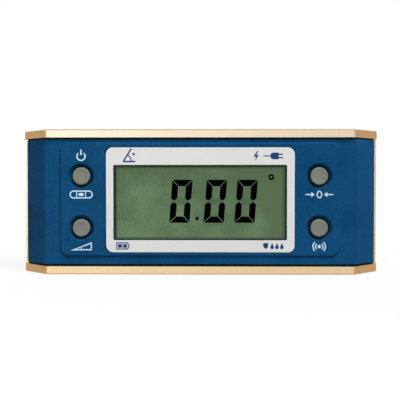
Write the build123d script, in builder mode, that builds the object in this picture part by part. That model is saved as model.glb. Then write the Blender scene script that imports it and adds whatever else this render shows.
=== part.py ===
# Digital spirit level: a box level with a metal frame and a sealed electronic angle display.
# Millimetres. X runs along the level, Y from the display to the back, Z up.
# The origin lies under the middle of the base. A "depth" is measured back from the frame's front.
from build123d import *
import os
from math import cos, hypot, pi, radians, tan

os.makedirs("parts", exist_ok=True)

# Frame, outside
LENGTH = 150.0
HEIGHT = 59.6
DEPTH = 33.0
CHAMFER_LENGTH = 11.6
CHAMFER_DEPTH = 12.0
EDGE_BREAK = 0.35

# Frame, inside
FRONT_LIP = 3.3
WALL = 5.4
END_WALL = 2.8
LEDGE_DEPTH = 3.0
END_SETBACK = 1.3
CAVITY_RADIUS = 2.0
REAR_REBATE = 3.0
REAR_END_LIP = 1.5
REBATE_RADIUS = 1.2

# Groove and magnets of the base
GROOVE_WIDTH = 9.0
GROOVE_ANGLE = 120.0
MAGNET_RADIUS = 4.0
MAGNET_THICKNESS = 2.5
MAGNET_SINK = 0.12
MAGNET_FROM_END = 25.0
MAGNET_CLEAR = 0.05

# Front housing
GASKET = 0.6
HOUSING_GAP = 0.55
HOUSING_SETBACK = 1.0
HOUSING_INSET = 0.15
HOUSING_WALL = 2.2
HOUSING_EDGE = 0.5
HOUSING_BEVEL = 0.4
END_STRIP = 1.3
SKIRT_CLEAR = 0.3
SKIRT_WALL = 1.6
SKIRT_END = 15.0
CORE_INSET = 0.7

# Raised control panel
PANEL_RISE = 0.8
PANEL_END_MARGIN = 6.3
PANEL_TOP_MARGIN = 1.3
PANEL_BOTTOM_MARGIN = 3.4
PANEL_RADIUS = 4.2
PANEL_EDGE = 0.7

# Display bezel and window
BEZEL_END_MARGIN = 19.0
BEZEL_TOP_MARGIN = 2.1
BEZEL_BOTTOM_MARGIN = 1.8
BEZEL_RADIUS = 2.5
BEZEL_THICKNESS = 0.8
BEZEL_SINK = 0.2
BEZEL_CLEAR = 0.2
WINDOW_END_MARGIN = 3.15
WINDOW_TOP_MARGIN = 7.3
WINDOW_BOTTOM_MARGIN = 5.0
WINDOW_RADIUS = 0.5
LENS_THICKNESS = 1.2
LENS_LAP = 1.8
LENS_CLEAR = 0.1

# Display module
HOLDER_LIP = 0.6
HOLDER_WALL = 1.2
HOLDER_CLEAR = 0.3
HOLDER_SHOW = 0.35
LCD_LAP = 4.3
LCD_THICKNESS = 2.0
LCD_CLEAR = 0.2
ZEBRA_HEIGHT = 4.6
ZEBRA_WIDTH = 2.4
ZEBRA_END_MARGIN = 8.0
ZEBRA_EDGE = 0.4
BACKLIGHT_THICKNESS = 2.8
BACKLIGHT_MARGIN = 1.0

# Main board
BOARD_THICKNESS = 1.6
BOARD_POST_GAP = 1.6
BOARD_BOSS_SIDE = 4.5
BOARD_BOSS_GAP = 0.5
BOARD_BOSS_INSET = 3.4

# Buttons and switches
BUTTON_FROM_PANEL_END = 9.0
BUTTON_BOSS_GAP = 0.8
WELL_RADIUS = 4.35
WELL_EDGE = 1.05
WELL_EDGE_DEPTH = 1.7
CAP_RADIUS = 3.6
CAP_PROUD = 0.1
CAP_EDGE = 0.45
SEAL_THICKNESS = 0.5
SEAL_CLEAR = 0.2
COLLAR_CLEAR = 0.05
FLANGE_SIDE = 10.2
FLANGE_THICKNESS = 0.8
FLANGE_GAP = 0.05
STEM_SIDE = 2.8
SWITCH_SIDE = 6.0
SWITCH_HEIGHT = 3.5
SWITCH_BORE_CLEAR = 0.2
SWITCH_BORE_DEPTH = 2.7
PLUNGER_SIDE = 3.2
PLUNGER_REACH = 1.3
PLUNGER_SUNK = 1.4

# Screws, all with plain pan heads
SCREW_CLEAR = 0.02
SCREW_SIDES = 12
COVER_SCREW_RADIUS = 1.25
COVER_SCREW_HEAD_RADIUS = 2.4
COVER_SCREW_HEAD = 1.6
COVER_SCREW_BITE = 9.0
SMALL_SCREW_RADIUS = 0.8
SMALL_SCREW_HEAD_RADIUS = 1.6
SMALL_SCREW_HEAD = 1.1
SMALL_SCREW_BITE = 3.0
HOLE_CLEAR = 0.15

# Rear cover
COVER_SINK = 0.4
COVER_CLEAR = 0.2
POST_FROM_END = 13.0
POST_FROM_EDGE = 12.5
POST_RADIUS = 3.25
COVER_BOSS_LENGTH = 6.0
COUNTERBORE_RADIUS = 2.7
COUNTERBORE_DEPTH = 2.0

# Battery, against the rear cover
BATTERY_X = -20.0
BATTERY_LENGTH = 48.0
BATTERY_HEIGHT = 34.0
BATTERY_THICKNESS = 6.0
BATTERY_RADIUS = 2.0
PAD_THICKNESS = 1.0
PAD_MARGIN = 3.0
CRADLE_CLEAR = 0.5
CRADLE_WALL = 1.2
CRADLE_HEIGHT = 4.0

# Battery socket on the main board
PLUG_X = 12.0
PLUG_RISE = 8.0
PLUG_LENGTH = 5.2
PLUG_WIDTH = 3.6
SOCKET_WALL = 0.9
SOCKET_CLEAR = 0.1
SOCKET_HEIGHT = 5.0
SOCKET_FLOOR = 1.2

# Other parts on the main board
CHIP_X = -6.0
CHIP_SIDE = 12.0
CHIP_THICKNESS = 1.4
BUZZER_FROM_END = 19.0
BUZZER_DROP = 10.0
BUZZER_RADIUS = 6.0
BUZZER_HEIGHT = 5.5
BUZZER_HOLE_RADIUS = 1.0

# Tilt sensor on its bracket, screwed to the frame
SENSOR_X = 22.0
BRACKET_WIDTH = 24.0
BRACKET_PLATE = 1.8
BRACKET_HEIGHT = 24.6
BRACKET_FOOT = 9.0
BRACKET_FROM_SKIRT = 1.0
BRACKET_SCREW_PITCH = 16.0
BRACKET_SCREW_BITE = 2.4
SENSOR_BOARD_WIDTH = 20.0
SENSOR_BOARD_HEIGHT = 17.0
SENSOR_BOARD_THICKNESS = 1.2
SENSOR_BOARD_FROM_TOP = 1.5
SENSOR_SCREW_PITCH = 14.0
SENSOR_SIDE = 9.0
SENSOR_HEIGHT = 3.5

# Charging port in the rear cover, with its board and sealing flap
PORT_X = 40.0
PORT_RISE = 13.0
PORT_LENGTH = 7.5
PORT_WIDTH = 2.7
PORT_SHELL = 0.35
PORT_HEIGHT = 4.6
PORT_FLOOR = 0.8
TONGUE_LENGTH = 4.4
TONGUE_WIDTH = 0.7
TONGUE_SINK = 0.8
PORT_CLEAR = 0.35
PORT_SINK = 1.4
PORT_PAD = 2.0
PORT_PAD_LENGTH = 22.0
PORT_PAD_HEIGHT = 13.0
PORT_BOARD_LENGTH = 20.0
PORT_BOARD_HEIGHT = 12.0
PORT_BOARD_THICKNESS = 1.2
PORT_SCREW_PITCH = 15.0
PORT_BOSS_SIDE = 3.6
FLAP_LENGTH = 18.0
FLAP_HEIGHT = 9.0
FLAP_THICKNESS = 1.2
FLAP_SINK = 0.05
FLAP_FLOOR_GAP = 0.15
FLAP_SIDE_GAP = 0.25
FLAP_HINGE_GAP = 0.75
STUB_CLEAR = 0.4
STUB_REACH = 1.2
NOTCH_RADIUS = 2.6
NOTCH_DEPTH = 0.9

# Sizes that follow from those above
small_pilot = (SMALL_SCREW_RADIUS + SCREW_CLEAR) / cos(pi / SCREW_SIDES)
small_hole = (SMALL_SCREW_RADIUS + HOLE_CLEAR) / cos(pi / SCREW_SIDES)
cover_hole = (COVER_SCREW_RADIUS + HOLE_CLEAR) / cos(pi / SCREW_SIDES)
cover_pilot = (COVER_SCREW_RADIUS + SCREW_CLEAR) / cos(pi / SCREW_SIDES)
mid_z = HEIGHT / 2
slope = CHAMFER_LENGTH / CHAMFER_DEPTH
end_edge = CHAMFER_DEPTH + END_SETBACK
cavity_x = LENGTH / 2 - END_WALL
cavity_height = HEIGHT - 2 * WALL

housing_bottom = FRONT_LIP + HOUSING_GAP
housing_height = HEIGHT - 2 * housing_bottom
housing_end = LENGTH / 2 - END_STRIP
inner_face = HOUSING_SETBACK + HOUSING_WALL
skirt_x = cavity_x - SKIRT_CLEAR
core_height = cavity_height - 2 * SKIRT_CLEAR
hollow_height = core_height - 2 * SKIRT_WALL


def chamfer_x(depth, inset):
    """Half length at a depth, on a plane parallel to the end chamfer and inset from it."""
    return LENGTH / 2 - CHAMFER_LENGTH + slope * depth - inset * hypot(1, slope)


def chamfer_at(half_length, inset):
    """Depth at which that inset plane reaches a half length."""
    return (half_length - LENGTH / 2 + CHAMFER_LENGTH + inset * hypot(1, slope)) / slope


def mirrored(half):
    """Plan points (x, depth) of the right half as a closed outline in X and Y."""
    right = [(x, depth - DEPTH / 2) for x, depth in half]
    left = [(-x, y) for x, y in reversed(right)]
    return right + left


def plan(face, inset, end, back):
    """Right half of a plan with a front face, an inset end chamfer, an end and a back."""
    return [
        (chamfer_x(face, inset), face),
        (end, chamfer_at(end, inset)),
        (end, back),
    ]


def seat(lift):
    """Right half of the line in plan on which the housing sits, lifted off the ledge."""
    level = LEDGE_DEPTH - lift
    return [
        (chamfer_x(level, level), level),
        (chamfer_x(end_edge - lift, level), end_edge - lift),
    ]


def front_plane(depth):
    """Sketch plane at a depth, facing the viewer, with Z up."""
    return Plane.XZ.offset(DEPTH / 2 - depth)


def rear_plane(depth):
    """Plane at a depth, facing away from the viewer, with Z up."""
    return Plane(origin=(0, depth - DEPTH / 2, 0), x_dir=(-1, 0, 0), z_dir=(0, 1, 0))


def finish(builder, name):
    """Label a finished piece and write it."""
    builder.part.label = name
    export_step(builder.part, f"parts/{name}.step")


# Panel, bezel and window, each inside the one before
panel_x = chamfer_x(HOUSING_SETBACK, HOUSING_INSET) - PANEL_END_MARGIN
panel_bottom = housing_bottom + PANEL_BOTTOM_MARGIN
panel_top = HEIGHT - housing_bottom - PANEL_TOP_MARGIN
panel_z = (panel_bottom + panel_top) / 2
panel_height = panel_top - panel_bottom
panel_face = HOUSING_SETBACK - PANEL_RISE
bezel_x = panel_x - BEZEL_END_MARGIN
bezel_bottom = panel_bottom + BEZEL_BOTTOM_MARGIN
bezel_top = panel_top - BEZEL_TOP_MARGIN
bezel_z = (bezel_bottom + bezel_top) / 2
bezel_height = bezel_top - bezel_bottom
bezel_face = panel_face + BEZEL_SINK
bezel_back = bezel_face + BEZEL_THICKNESS
window_x = bezel_x - WINDOW_END_MARGIN
window_bottom = bezel_bottom + WINDOW_BOTTOM_MARGIN
window_top = bezel_top - WINDOW_TOP_MARGIN
window_z = (window_bottom + window_top) / 2
window_height = window_top - window_bottom
lens_back = bezel_back + LENS_THICKNESS

# Display module and main board behind the housing's front wall
lcd_x = window_x + LCD_LAP
holder_x = lcd_x + LCD_CLEAR + HOLDER_WALL
holder_height = hollow_height - 2 * HOLDER_CLEAR
lcd_height = holder_height - 2 * (HOLDER_WALL + LCD_CLEAR)
lcd_face = inner_face + HOLDER_LIP
lcd_back = lcd_face + LCD_THICKNESS
board_face = lcd_back + ZEBRA_HEIGHT
board_back = board_face + BOARD_THICKNESS
zebra_z = lcd_height / 2 - ZEBRA_EDGE - ZEBRA_WIDTH / 2
backlight_height = lcd_height - 2 * (ZEBRA_EDGE + ZEBRA_WIDTH + BACKLIGHT_MARGIN)

post_x = LENGTH / 2 - POST_FROM_END
post_pitch_z = HEIGHT - 2 * POST_FROM_EDGE
board_x = post_x - POST_RADIUS - BOARD_POST_GAP
board_height = holder_height
boss_x = holder_x + BOARD_BOSS_GAP + BOARD_BOSS_SIDE / 2
boss_pitch_z = board_height - 2 * BOARD_BOSS_INSET

# Buttons
button_x = panel_x - BUTTON_FROM_PANEL_END
cap_face = panel_face - CAP_PROUD
well_foot = panel_face + WELL_EDGE_DEPTH
flange_face = inner_face + SEAL_THICKNESS + FLANGE_GAP
flange_back = flange_face + FLANGE_THICKNESS
switch_face = board_face - SWITCH_HEIGHT
stem_end = switch_face - PLUNGER_REACH
button_pitch = boss_pitch_z - BOARD_BOSS_SIDE - FLANGE_SIDE - 2 * BUTTON_BOSS_GAP
button_points = [
    (-button_x, mid_z + button_pitch / 2),
    (-button_x, mid_z - button_pitch / 2),
    (button_x, mid_z + button_pitch / 2),
    (button_x, mid_z - button_pitch / 2),
]
buzzer_x = BUZZER_FROM_END - board_x
button_names = ["power", "tilt", "zero", "sound"]

# Rear cover and what it carries
rebate_x = LENGTH / 2 - REAR_END_LIP
rebate_height = HEIGHT - 2 * FRONT_LIP
cover_face = DEPTH - COVER_SINK
cover_inner = DEPTH - REAR_REBATE + GASKET
post_end = cover_inner - COVER_BOSS_LENGTH
battery_back = cover_inner - PAD_THICKNESS
battery_face = battery_back - BATTERY_THICKNESS
port_z = mid_z + PORT_RISE
flap_back = cover_face - FLAP_SINK - FLAP_THICKNESS
recess_floor = flap_back - FLAP_FLOOR_GAP
pad_face = cover_inner - PORT_PAD
port_mouth = recess_floor - PORT_SINK
port_board_back = port_mouth - PORT_HEIGHT
port_board_face = port_board_back - PORT_BOARD_THICKNESS
hinge_x = PORT_X - FLAP_LENGTH / 2
flap_end = hinge_x + FLAP_LENGTH
recess_start = hinge_x - FLAP_THICKNESS / 2 - FLAP_HINGE_GAP
recess_stop = flap_end + FLAP_SIDE_GAP
slot_length = PORT_LENGTH + 2 * PORT_CLEAR
slot_width = PORT_WIDTH + 2 * PORT_CLEAR

# Frame: a metal ring with chamfered front ends, a front ledge, a rear rebate and a grooved base
magnet_x = LENGTH / 2 - MAGNET_FROM_END
magnet_y = (GROOVE_WIDTH / 2 + DEPTH / 2) / 2
magnet_pocket = MAGNET_THICKNESS + MAGNET_SINK
bracket_face = SKIRT_END + BRACKET_FROM_SKIRT
bracket_back = bracket_face + BRACKET_PLATE
bracket_screw_y = bracket_face + BRACKET_FOOT - SMALL_SCREW_HEAD_RADIUS * 2 - DEPTH / 2
base_plane = Plane(origin=(0, 0, 0), x_dir=(1, 0, 0), z_dir=(0, 0, -1))
with BuildPart() as frame:
    with BuildSketch(Plane.XY):
        with BuildLine():
            Polyline(*mirrored(plan(0, 0, LENGTH / 2, DEPTH)), close=True)
        make_face()
    extrude(amount=HEIGHT)
    chamfer(frame.edges(), EDGE_BREAK)
    with BuildSketch(Plane.XY.offset(FRONT_LIP)):
        with BuildLine():
            beyond = LENGTH / 2 + CHAMFER_LENGTH
            front_cut = [(beyond, -CHAMFER_DEPTH), (beyond, end_edge)]
            Polyline(*mirrored(front_cut + seat(0)[::-1]), close=True)
        make_face()
    extrude(amount=HEIGHT - 2 * FRONT_LIP, mode=Mode.SUBTRACT)
    with BuildSketch(front_plane(0)):
        with Locations((0, mid_z)):
            RectangleRounded(2 * cavity_x, cavity_height, CAVITY_RADIUS)
    extrude(amount=-DEPTH, mode=Mode.SUBTRACT)
    with BuildSketch(front_plane(DEPTH)):
        with Locations((0, mid_z)):
            RectangleRounded(2 * rebate_x, rebate_height, REBATE_RADIUS)
    extrude(amount=REAR_REBATE, mode=Mode.SUBTRACT)
    with BuildSketch(Plane.YZ.offset(-LENGTH / 2)):
        with BuildLine():
            groove_depth = GROOVE_WIDTH / 2 / tan(radians(GROOVE_ANGLE / 2))
            Polyline((-GROOVE_WIDTH / 2, 0), (GROOVE_WIDTH / 2, 0), (0, groove_depth), close=True)
        make_face()
    extrude(amount=LENGTH, mode=Mode.SUBTRACT)
    with Locations(base_plane):
        with GridLocations(2 * magnet_x, 2 * magnet_y, 2, 2):
            Hole(MAGNET_RADIUS + MAGNET_CLEAR, magnet_pocket)
    with BuildSketch(Plane.XY.offset(WALL)):
        with Locations((SENSOR_X, bracket_screw_y)):
            with GridLocations(BRACKET_SCREW_PITCH, 0, 2, 1):
                RegularPolygon(small_pilot, SCREW_SIDES)
    extrude(amount=-BRACKET_SCREW_BITE, mode=Mode.SUBTRACT)
finish(frame, "frame")

with BuildPart() as base_magnets:
    with BuildSketch(Plane.XY.offset(MAGNET_SINK)):
        with GridLocations(2 * magnet_x, 2 * magnet_y, 2, 2):
            Circle(MAGNET_RADIUS)
    extrude(amount=MAGNET_THICKNESS)
finish(base_magnets, "base_magnets")

# Gasket on the front ledge, seen as the dark line round the housing
with BuildPart() as front_gasket:
    with BuildSketch(Plane.XY.offset(FRONT_LIP)):
        with BuildLine():
            gasket_end = (housing_end, end_edge - GASKET)
            gasket_back = (housing_end, end_edge)
            Polyline(*mirrored(seat(GASKET) + [gasket_end, gasket_back] + seat(0)[::-1]), close=True)
        make_face()
    extrude(amount=HEIGHT - 2 * FRONT_LIP)
    with BuildSketch(front_plane(0)):
        with Locations((0, mid_z)):
            RectangleRounded(2 * cavity_x, cavity_height, CAVITY_RADIUS)
    extrude(amount=-DEPTH, mode=Mode.SUBTRACT)
finish(front_gasket, "front_gasket")


def on_outer_face(edge):
    """Whether an edge of the housing's flange lies on its front or on its chamfers."""
    middle = edge.center()
    depth = middle.Y + DEPTH / 2
    on_front = abs(depth - HOUSING_SETBACK) < HOUSING_EDGE / 2
    return on_front or abs(abs(middle.X) - chamfer_x(depth, HOUSING_INSET)) < HOUSING_EDGE / 2


def on_skirt_end(edge):
    """Whether an edge lies on one of the skirt's two ends."""
    return abs(abs(edge.center().X) - skirt_x) < 0.001


def at_depth(builder, depth, radius):
    """Circular edges of one radius at one depth."""
    rings = builder.edges().filter_by(GeomType.CIRCLE)
    here = rings.filter_by(lambda edge: abs(edge.center().Y + DEPTH / 2 - depth) < 0.001)
    return here.filter_by(lambda edge: abs(edge.radius - radius) < 0.001)


# Front housing: one moulding with the panel, the bezel recess, the wells, the posts and a skirt
with BuildPart() as front_housing:
    with BuildSketch(Plane.XY.offset(housing_bottom)):
        with BuildLine():
            flange = plan(HOUSING_SETBACK, HOUSING_INSET, housing_end, end_edge - GASKET)
            Polyline(*mirrored(flange + seat(GASKET)[::-1]), close=True)
        make_face()
    extrude(amount=housing_height)
    fillet(front_housing.edges().filter_by(on_outer_face).filter_by(Axis.Z), HOUSING_EDGE)
    chamfer(front_housing.edges().filter_by(on_outer_face).filter_by(Axis.Z, reverse=True), HOUSING_BEVEL)
    with BuildSketch(Plane.XY.offset(mid_z - core_height / 2)):
        with BuildLine():
            core = plan(HOUSING_SETBACK + CORE_INSET, HOUSING_INSET + CORE_INSET, skirt_x, SKIRT_END)
            Polyline(*mirrored(core), close=True)
        make_face()
    extrude(amount=core_height)
    fillet(front_housing.edges().filter_by(Axis.Y).filter_by(on_skirt_end), CAVITY_RADIUS)
    with BuildSketch(Plane.XY.offset(mid_z - hollow_height / 2)):
        with BuildLine():
            hollow_end = skirt_x - SKIRT_WALL
            hollow = plan(inner_face, HOUSING_INSET + HOUSING_WALL, hollow_end, DEPTH)
            Polyline(*mirrored(hollow), close=True)
        make_face()
    extrude(amount=hollow_height, mode=Mode.SUBTRACT)
    with BuildSketch(front_plane(HOUSING_SETBACK)):
        with Locations((0, panel_z)):
            RectangleRounded(2 * panel_x, panel_height, PANEL_RADIUS)
    extrude(amount=PANEL_RISE)
    chamfer(front_housing.faces().sort_by(Axis.Y)[0].edges(), PANEL_EDGE)
    with BuildSketch(front_plane(panel_face)):
        with Locations((0, bezel_z)):
            RectangleRounded(
                2 * (bezel_x + BEZEL_CLEAR),
                bezel_height + 2 * BEZEL_CLEAR,
                BEZEL_RADIUS + BEZEL_CLEAR,
            )
    extrude(amount=panel_face - bezel_back, mode=Mode.SUBTRACT)
    with BuildSketch(front_plane(bezel_back)):
        with Locations((0, window_z)):
            lens_seat = LENS_LAP + LENS_CLEAR
            Rectangle(2 * (window_x + lens_seat), window_height + 2 * lens_seat)
    extrude(amount=-LENS_THICKNESS, mode=Mode.SUBTRACT)
    with BuildSketch(front_plane(lens_back)):
        with Locations((0, window_z)):
            RectangleRounded(2 * window_x, window_height, WINDOW_RADIUS)
    extrude(amount=lens_back - inner_face, mode=Mode.SUBTRACT)
    with BuildSketch(front_plane(panel_face)):
        with Locations(*button_points):
            Circle(WELL_RADIUS)
    extrude(amount=panel_face - inner_face, mode=Mode.SUBTRACT)
    well_rims = at_depth(front_housing, panel_face, WELL_RADIUS)
    panel_front = front_housing.faces().sort_by(Axis.Y)[0]
    chamfer(well_rims, WELL_EDGE, WELL_EDGE_DEPTH, reference=panel_front)
    with BuildSketch(front_plane(inner_face)):
        with Locations((0, mid_z)):
            with GridLocations(2 * post_x, post_pitch_z, 2, 2):
                RegularPolygon(POST_RADIUS, SCREW_SIDES)
    extrude(amount=inner_face - post_end)
    with BuildSketch(front_plane(inner_face)):
        with Locations((0, mid_z)):
            with GridLocations(2 * boss_x, boss_pitch_z, 2, 2):
                Rectangle(BOARD_BOSS_SIDE, BOARD_BOSS_SIDE)
    extrude(amount=inner_face - board_face)
    with BuildSketch(front_plane(post_end)):
        with Locations((0, mid_z)):
            with GridLocations(2 * post_x, post_pitch_z, 2, 2):
                RegularPolygon(cover_pilot, SCREW_SIDES)
    extrude(amount=COVER_SCREW_BITE + EDGE_BREAK, mode=Mode.SUBTRACT)
    with BuildSketch(front_plane(board_face)):
        with Locations((0, mid_z)):
            with GridLocations(2 * boss_x, boss_pitch_z, 2, 2):
                RegularPolygon(small_pilot, SCREW_SIDES)
    extrude(amount=SMALL_SCREW_BITE + EDGE_BREAK, mode=Mode.SUBTRACT)
finish(front_housing, "front_housing")

# White plate round the window, and the clear window under it
with BuildPart() as display_bezel:
    with BuildSketch(front_plane(bezel_face)):
        with Locations((0, bezel_z)):
            RectangleRounded(2 * bezel_x, bezel_height, BEZEL_RADIUS)
        with Locations((0, window_z)):
            RectangleRounded(2 * window_x, window_height, WINDOW_RADIUS, mode=Mode.SUBTRACT)
    extrude(amount=-BEZEL_THICKNESS)
finish(display_bezel, "display_bezel")

with BuildPart() as display_window:
    with BuildSketch(front_plane(bezel_back)):
        with Locations((0, window_z)):
            Rectangle(2 * (window_x + LENS_LAP), window_height + 2 * LENS_LAP)
    extrude(amount=-LENS_THICKNESS)
finish(display_window, "display_window")

# Display module: black holder, glass cell, light guide and two contact strips down to the board
with BuildPart() as lcd_holder:
    with BuildSketch(front_plane(inner_face)):
        with Locations((0, mid_z)):
            Rectangle(2 * holder_x, holder_height)
        with Locations((0, window_z)):
            Rectangle(
                2 * (window_x - HOLDER_SHOW), window_height - 2 * HOLDER_SHOW, mode=Mode.SUBTRACT
            )
    extrude(amount=inner_face - board_face)
    with BuildSketch(front_plane(lcd_face)):
        with Locations((0, mid_z)):
            Rectangle(2 * (lcd_x + LCD_CLEAR), lcd_height + 2 * LCD_CLEAR)
    extrude(amount=lcd_face - board_face, mode=Mode.SUBTRACT)
finish(lcd_holder, "lcd_holder")

with BuildPart() as lcd_glass:
    with BuildSketch(front_plane(lcd_face)):
        with Locations((0, mid_z)):
            Rectangle(2 * lcd_x, lcd_height)
    extrude(amount=-LCD_THICKNESS)
finish(lcd_glass, "lcd_glass")

with BuildPart() as lcd_backlight:
    with BuildSketch(front_plane(lcd_back)):
        with Locations((0, mid_z)):
            Rectangle(2 * (lcd_x - BACKLIGHT_MARGIN), backlight_height)
    extrude(amount=-BACKLIGHT_THICKNESS)
finish(lcd_backlight, "lcd_backlight")

with BuildPart() as zebra_strips:
    with BuildSketch(front_plane(lcd_back)):
        with Locations((0, mid_z)):
            with GridLocations(0, 2 * zebra_z, 1, 2):
                Rectangle(2 * (lcd_x - ZEBRA_END_MARGIN), ZEBRA_WIDTH)
    extrude(amount=-ZEBRA_HEIGHT)
finish(zebra_strips, "zebra_strips")

# Main board with its screws, switches, processor, sounder and battery socket
with BuildPart() as main_board:
    with BuildSketch(front_plane(board_face)):
        with Locations((0, mid_z)):
            Rectangle(2 * board_x, board_height)
            with GridLocations(2 * boss_x, boss_pitch_z, 2, 2):
                RegularPolygon(small_hole, SCREW_SIDES, mode=Mode.SUBTRACT)
    extrude(amount=-BOARD_THICKNESS)
finish(main_board, "main_board")

with BuildPart() as board_screws:
    with BuildSketch(front_plane(board_back)):
        with Locations((0, mid_z)):
            with GridLocations(2 * boss_x, boss_pitch_z, 2, 2):
                RegularPolygon(SMALL_SCREW_HEAD_RADIUS, SCREW_SIDES)
    extrude(amount=-SMALL_SCREW_HEAD)
    with BuildSketch(front_plane(board_back)):
        with Locations((0, mid_z)):
            with GridLocations(2 * boss_x, boss_pitch_z, 2, 2):
                RegularPolygon(SMALL_SCREW_RADIUS, SCREW_SIDES)
    extrude(amount=BOARD_THICKNESS + SMALL_SCREW_BITE)
finish(board_screws, "board_screws")

with BuildPart() as switch_bodies:
    with BuildSketch(front_plane(switch_face)):
        with Locations(*button_points):
            Rectangle(SWITCH_SIDE, SWITCH_SIDE)
    extrude(amount=-SWITCH_HEIGHT)
    with BuildSketch(front_plane(switch_face)):
        with Locations(*button_points):
            Rectangle(PLUNGER_SIDE + 2 * SWITCH_BORE_CLEAR, PLUNGER_SIDE + 2 * SWITCH_BORE_CLEAR)
    extrude(amount=-SWITCH_BORE_DEPTH, mode=Mode.SUBTRACT)
finish(switch_bodies, "switch_bodies")

with BuildPart() as controller_chip:
    with BuildSketch(front_plane(board_back)):
        with Locations((CHIP_X, mid_z)):
            Rectangle(CHIP_SIDE, CHIP_SIDE)
    extrude(amount=-CHIP_THICKNESS)
finish(controller_chip, "controller_chip")

with BuildPart() as buzzer:
    with BuildSketch(front_plane(board_back)):
        with Locations((buzzer_x, mid_z - BUZZER_DROP)):
            Circle(BUZZER_RADIUS)
    extrude(amount=-BUZZER_HEIGHT)
    with BuildSketch(front_plane(board_back + BUZZER_HEIGHT)):
        with Locations((buzzer_x, mid_z - BUZZER_DROP)):
            RegularPolygon(BUZZER_HOLE_RADIUS, SCREW_SIDES)
    extrude(amount=BUZZER_HEIGHT / 2, mode=Mode.SUBTRACT)
finish(buzzer, "buzzer")

plug_z = mid_z + PLUG_RISE
plug_face = board_back + SOCKET_FLOOR
with BuildPart() as battery_socket:
    with BuildSketch(front_plane(board_back)):
        with Locations((PLUG_X, plug_z)):
            socket_wall = SOCKET_WALL + SOCKET_CLEAR
            Rectangle(PLUG_LENGTH + 2 * socket_wall, PLUG_WIDTH + 2 * socket_wall)
    extrude(amount=-SOCKET_HEIGHT)
    with BuildSketch(front_plane(plug_face)):
        with Locations((PLUG_X, plug_z)):
            Rectangle(PLUG_LENGTH + 2 * SOCKET_CLEAR, PLUG_WIDTH + 2 * SOCKET_CLEAR)
    extrude(amount=-SOCKET_HEIGHT, mode=Mode.SUBTRACT)
finish(battery_socket, "battery_socket")

# Buttons, one piece each, with the switch plungers that they push
for (x, z), name in zip(button_points, button_names):
    with BuildPart() as button:
        with BuildSketch(front_plane(cap_face)):
            with Locations((x, z)):
                Circle(CAP_RADIUS)
        extrude(amount=cap_face - flange_face)
        chamfer(at_depth(button, cap_face, CAP_RADIUS), CAP_EDGE)
        with BuildSketch(front_plane(flange_face)):
            with Locations((x, z)):
                Rectangle(FLANGE_SIDE, FLANGE_SIDE)
        extrude(amount=-FLANGE_THICKNESS)
        with BuildSketch(front_plane(flange_back)):
            with Locations((x, z)):
                Rectangle(STEM_SIDE, STEM_SIDE)
        extrude(amount=flange_back - stem_end)
    finish(button, f"{name}_button")
    with BuildPart() as plunger:
        with BuildSketch(front_plane(stem_end)):
            with Locations((x, z)):
                Rectangle(PLUNGER_SIDE, PLUNGER_SIDE)
        extrude(amount=-(PLUNGER_REACH + PLUNGER_SUNK))
    finish(plunger, f"{name}_plunger")

# Seals: a flat ring behind each well with a collar that lines the well, seen as the dark ring round the cap
with BuildPart() as button_seals:
    with BuildSketch(front_plane(inner_face)):
        with Locations(*button_points):
            Rectangle(FLANGE_SIDE, FLANGE_SIDE)
            Circle(CAP_RADIUS + SEAL_CLEAR, mode=Mode.SUBTRACT)
    extrude(amount=-SEAL_THICKNESS)
    with BuildSketch(front_plane(inner_face)):
        with Locations(*button_points):
            Circle(WELL_RADIUS - COLLAR_CLEAR)
            Circle(CAP_RADIUS + SEAL_CLEAR, mode=Mode.SUBTRACT)
    extrude(amount=inner_face - well_foot)
finish(button_seals, "button_seals")

# Tilt sensor: an angle bracket on the frame's floor, a small board and the sensor can
sensor_board_top = WALL + BRACKET_HEIGHT - SENSOR_BOARD_FROM_TOP
sensor_z = sensor_board_top - SENSOR_BOARD_HEIGHT / 2
sensor_board_back = bracket_back + SENSOR_BOARD_THICKNESS
with BuildPart() as sensor_bracket:
    with BuildSketch(Plane.YZ.offset(SENSOR_X - BRACKET_WIDTH / 2)):
        with BuildLine():
            front_y = bracket_face - DEPTH / 2
            back_y = bracket_back - DEPTH / 2
            foot_y = front_y + BRACKET_FOOT
            Polyline(
                (front_y, WALL),
                (foot_y, WALL),
                (foot_y, WALL + BRACKET_PLATE),
                (back_y, WALL + BRACKET_PLATE),
                (back_y, WALL + BRACKET_HEIGHT),
                (front_y, WALL + BRACKET_HEIGHT),
                close=True,
            )
        make_face()
    extrude(amount=BRACKET_WIDTH)
    with BuildSketch(Plane.XY.offset(WALL)):
        with Locations((SENSOR_X, bracket_screw_y)):
            with GridLocations(BRACKET_SCREW_PITCH, 0, 2, 1):
                RegularPolygon(small_hole, SCREW_SIDES)
    extrude(amount=BRACKET_PLATE, mode=Mode.SUBTRACT)
    with BuildSketch(front_plane(bracket_face)):
        with Locations((SENSOR_X, sensor_z)):
            with GridLocations(SENSOR_SCREW_PITCH, 0, 2, 1):
                RegularPolygon(small_pilot, SCREW_SIDES)
    extrude(amount=-BRACKET_PLATE, mode=Mode.SUBTRACT)
finish(sensor_bracket, "sensor_bracket")

with BuildPart() as bracket_screws:
    with BuildSketch(Plane.XY.offset(WALL + BRACKET_PLATE)):
        with Locations((SENSOR_X, bracket_screw_y)):
            with GridLocations(BRACKET_SCREW_PITCH, 0, 2, 1):
                RegularPolygon(SMALL_SCREW_HEAD_RADIUS, SCREW_SIDES)
    extrude(amount=SMALL_SCREW_HEAD)
    with BuildSketch(Plane.XY.offset(WALL + BRACKET_PLATE)):
        with Locations((SENSOR_X, bracket_screw_y)):
            with GridLocations(BRACKET_SCREW_PITCH, 0, 2, 1):
                RegularPolygon(SMALL_SCREW_RADIUS, SCREW_SIDES)
    extrude(amount=-(BRACKET_PLATE + BRACKET_SCREW_BITE - EDGE_BREAK))
finish(bracket_screws, "bracket_screws")

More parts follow.
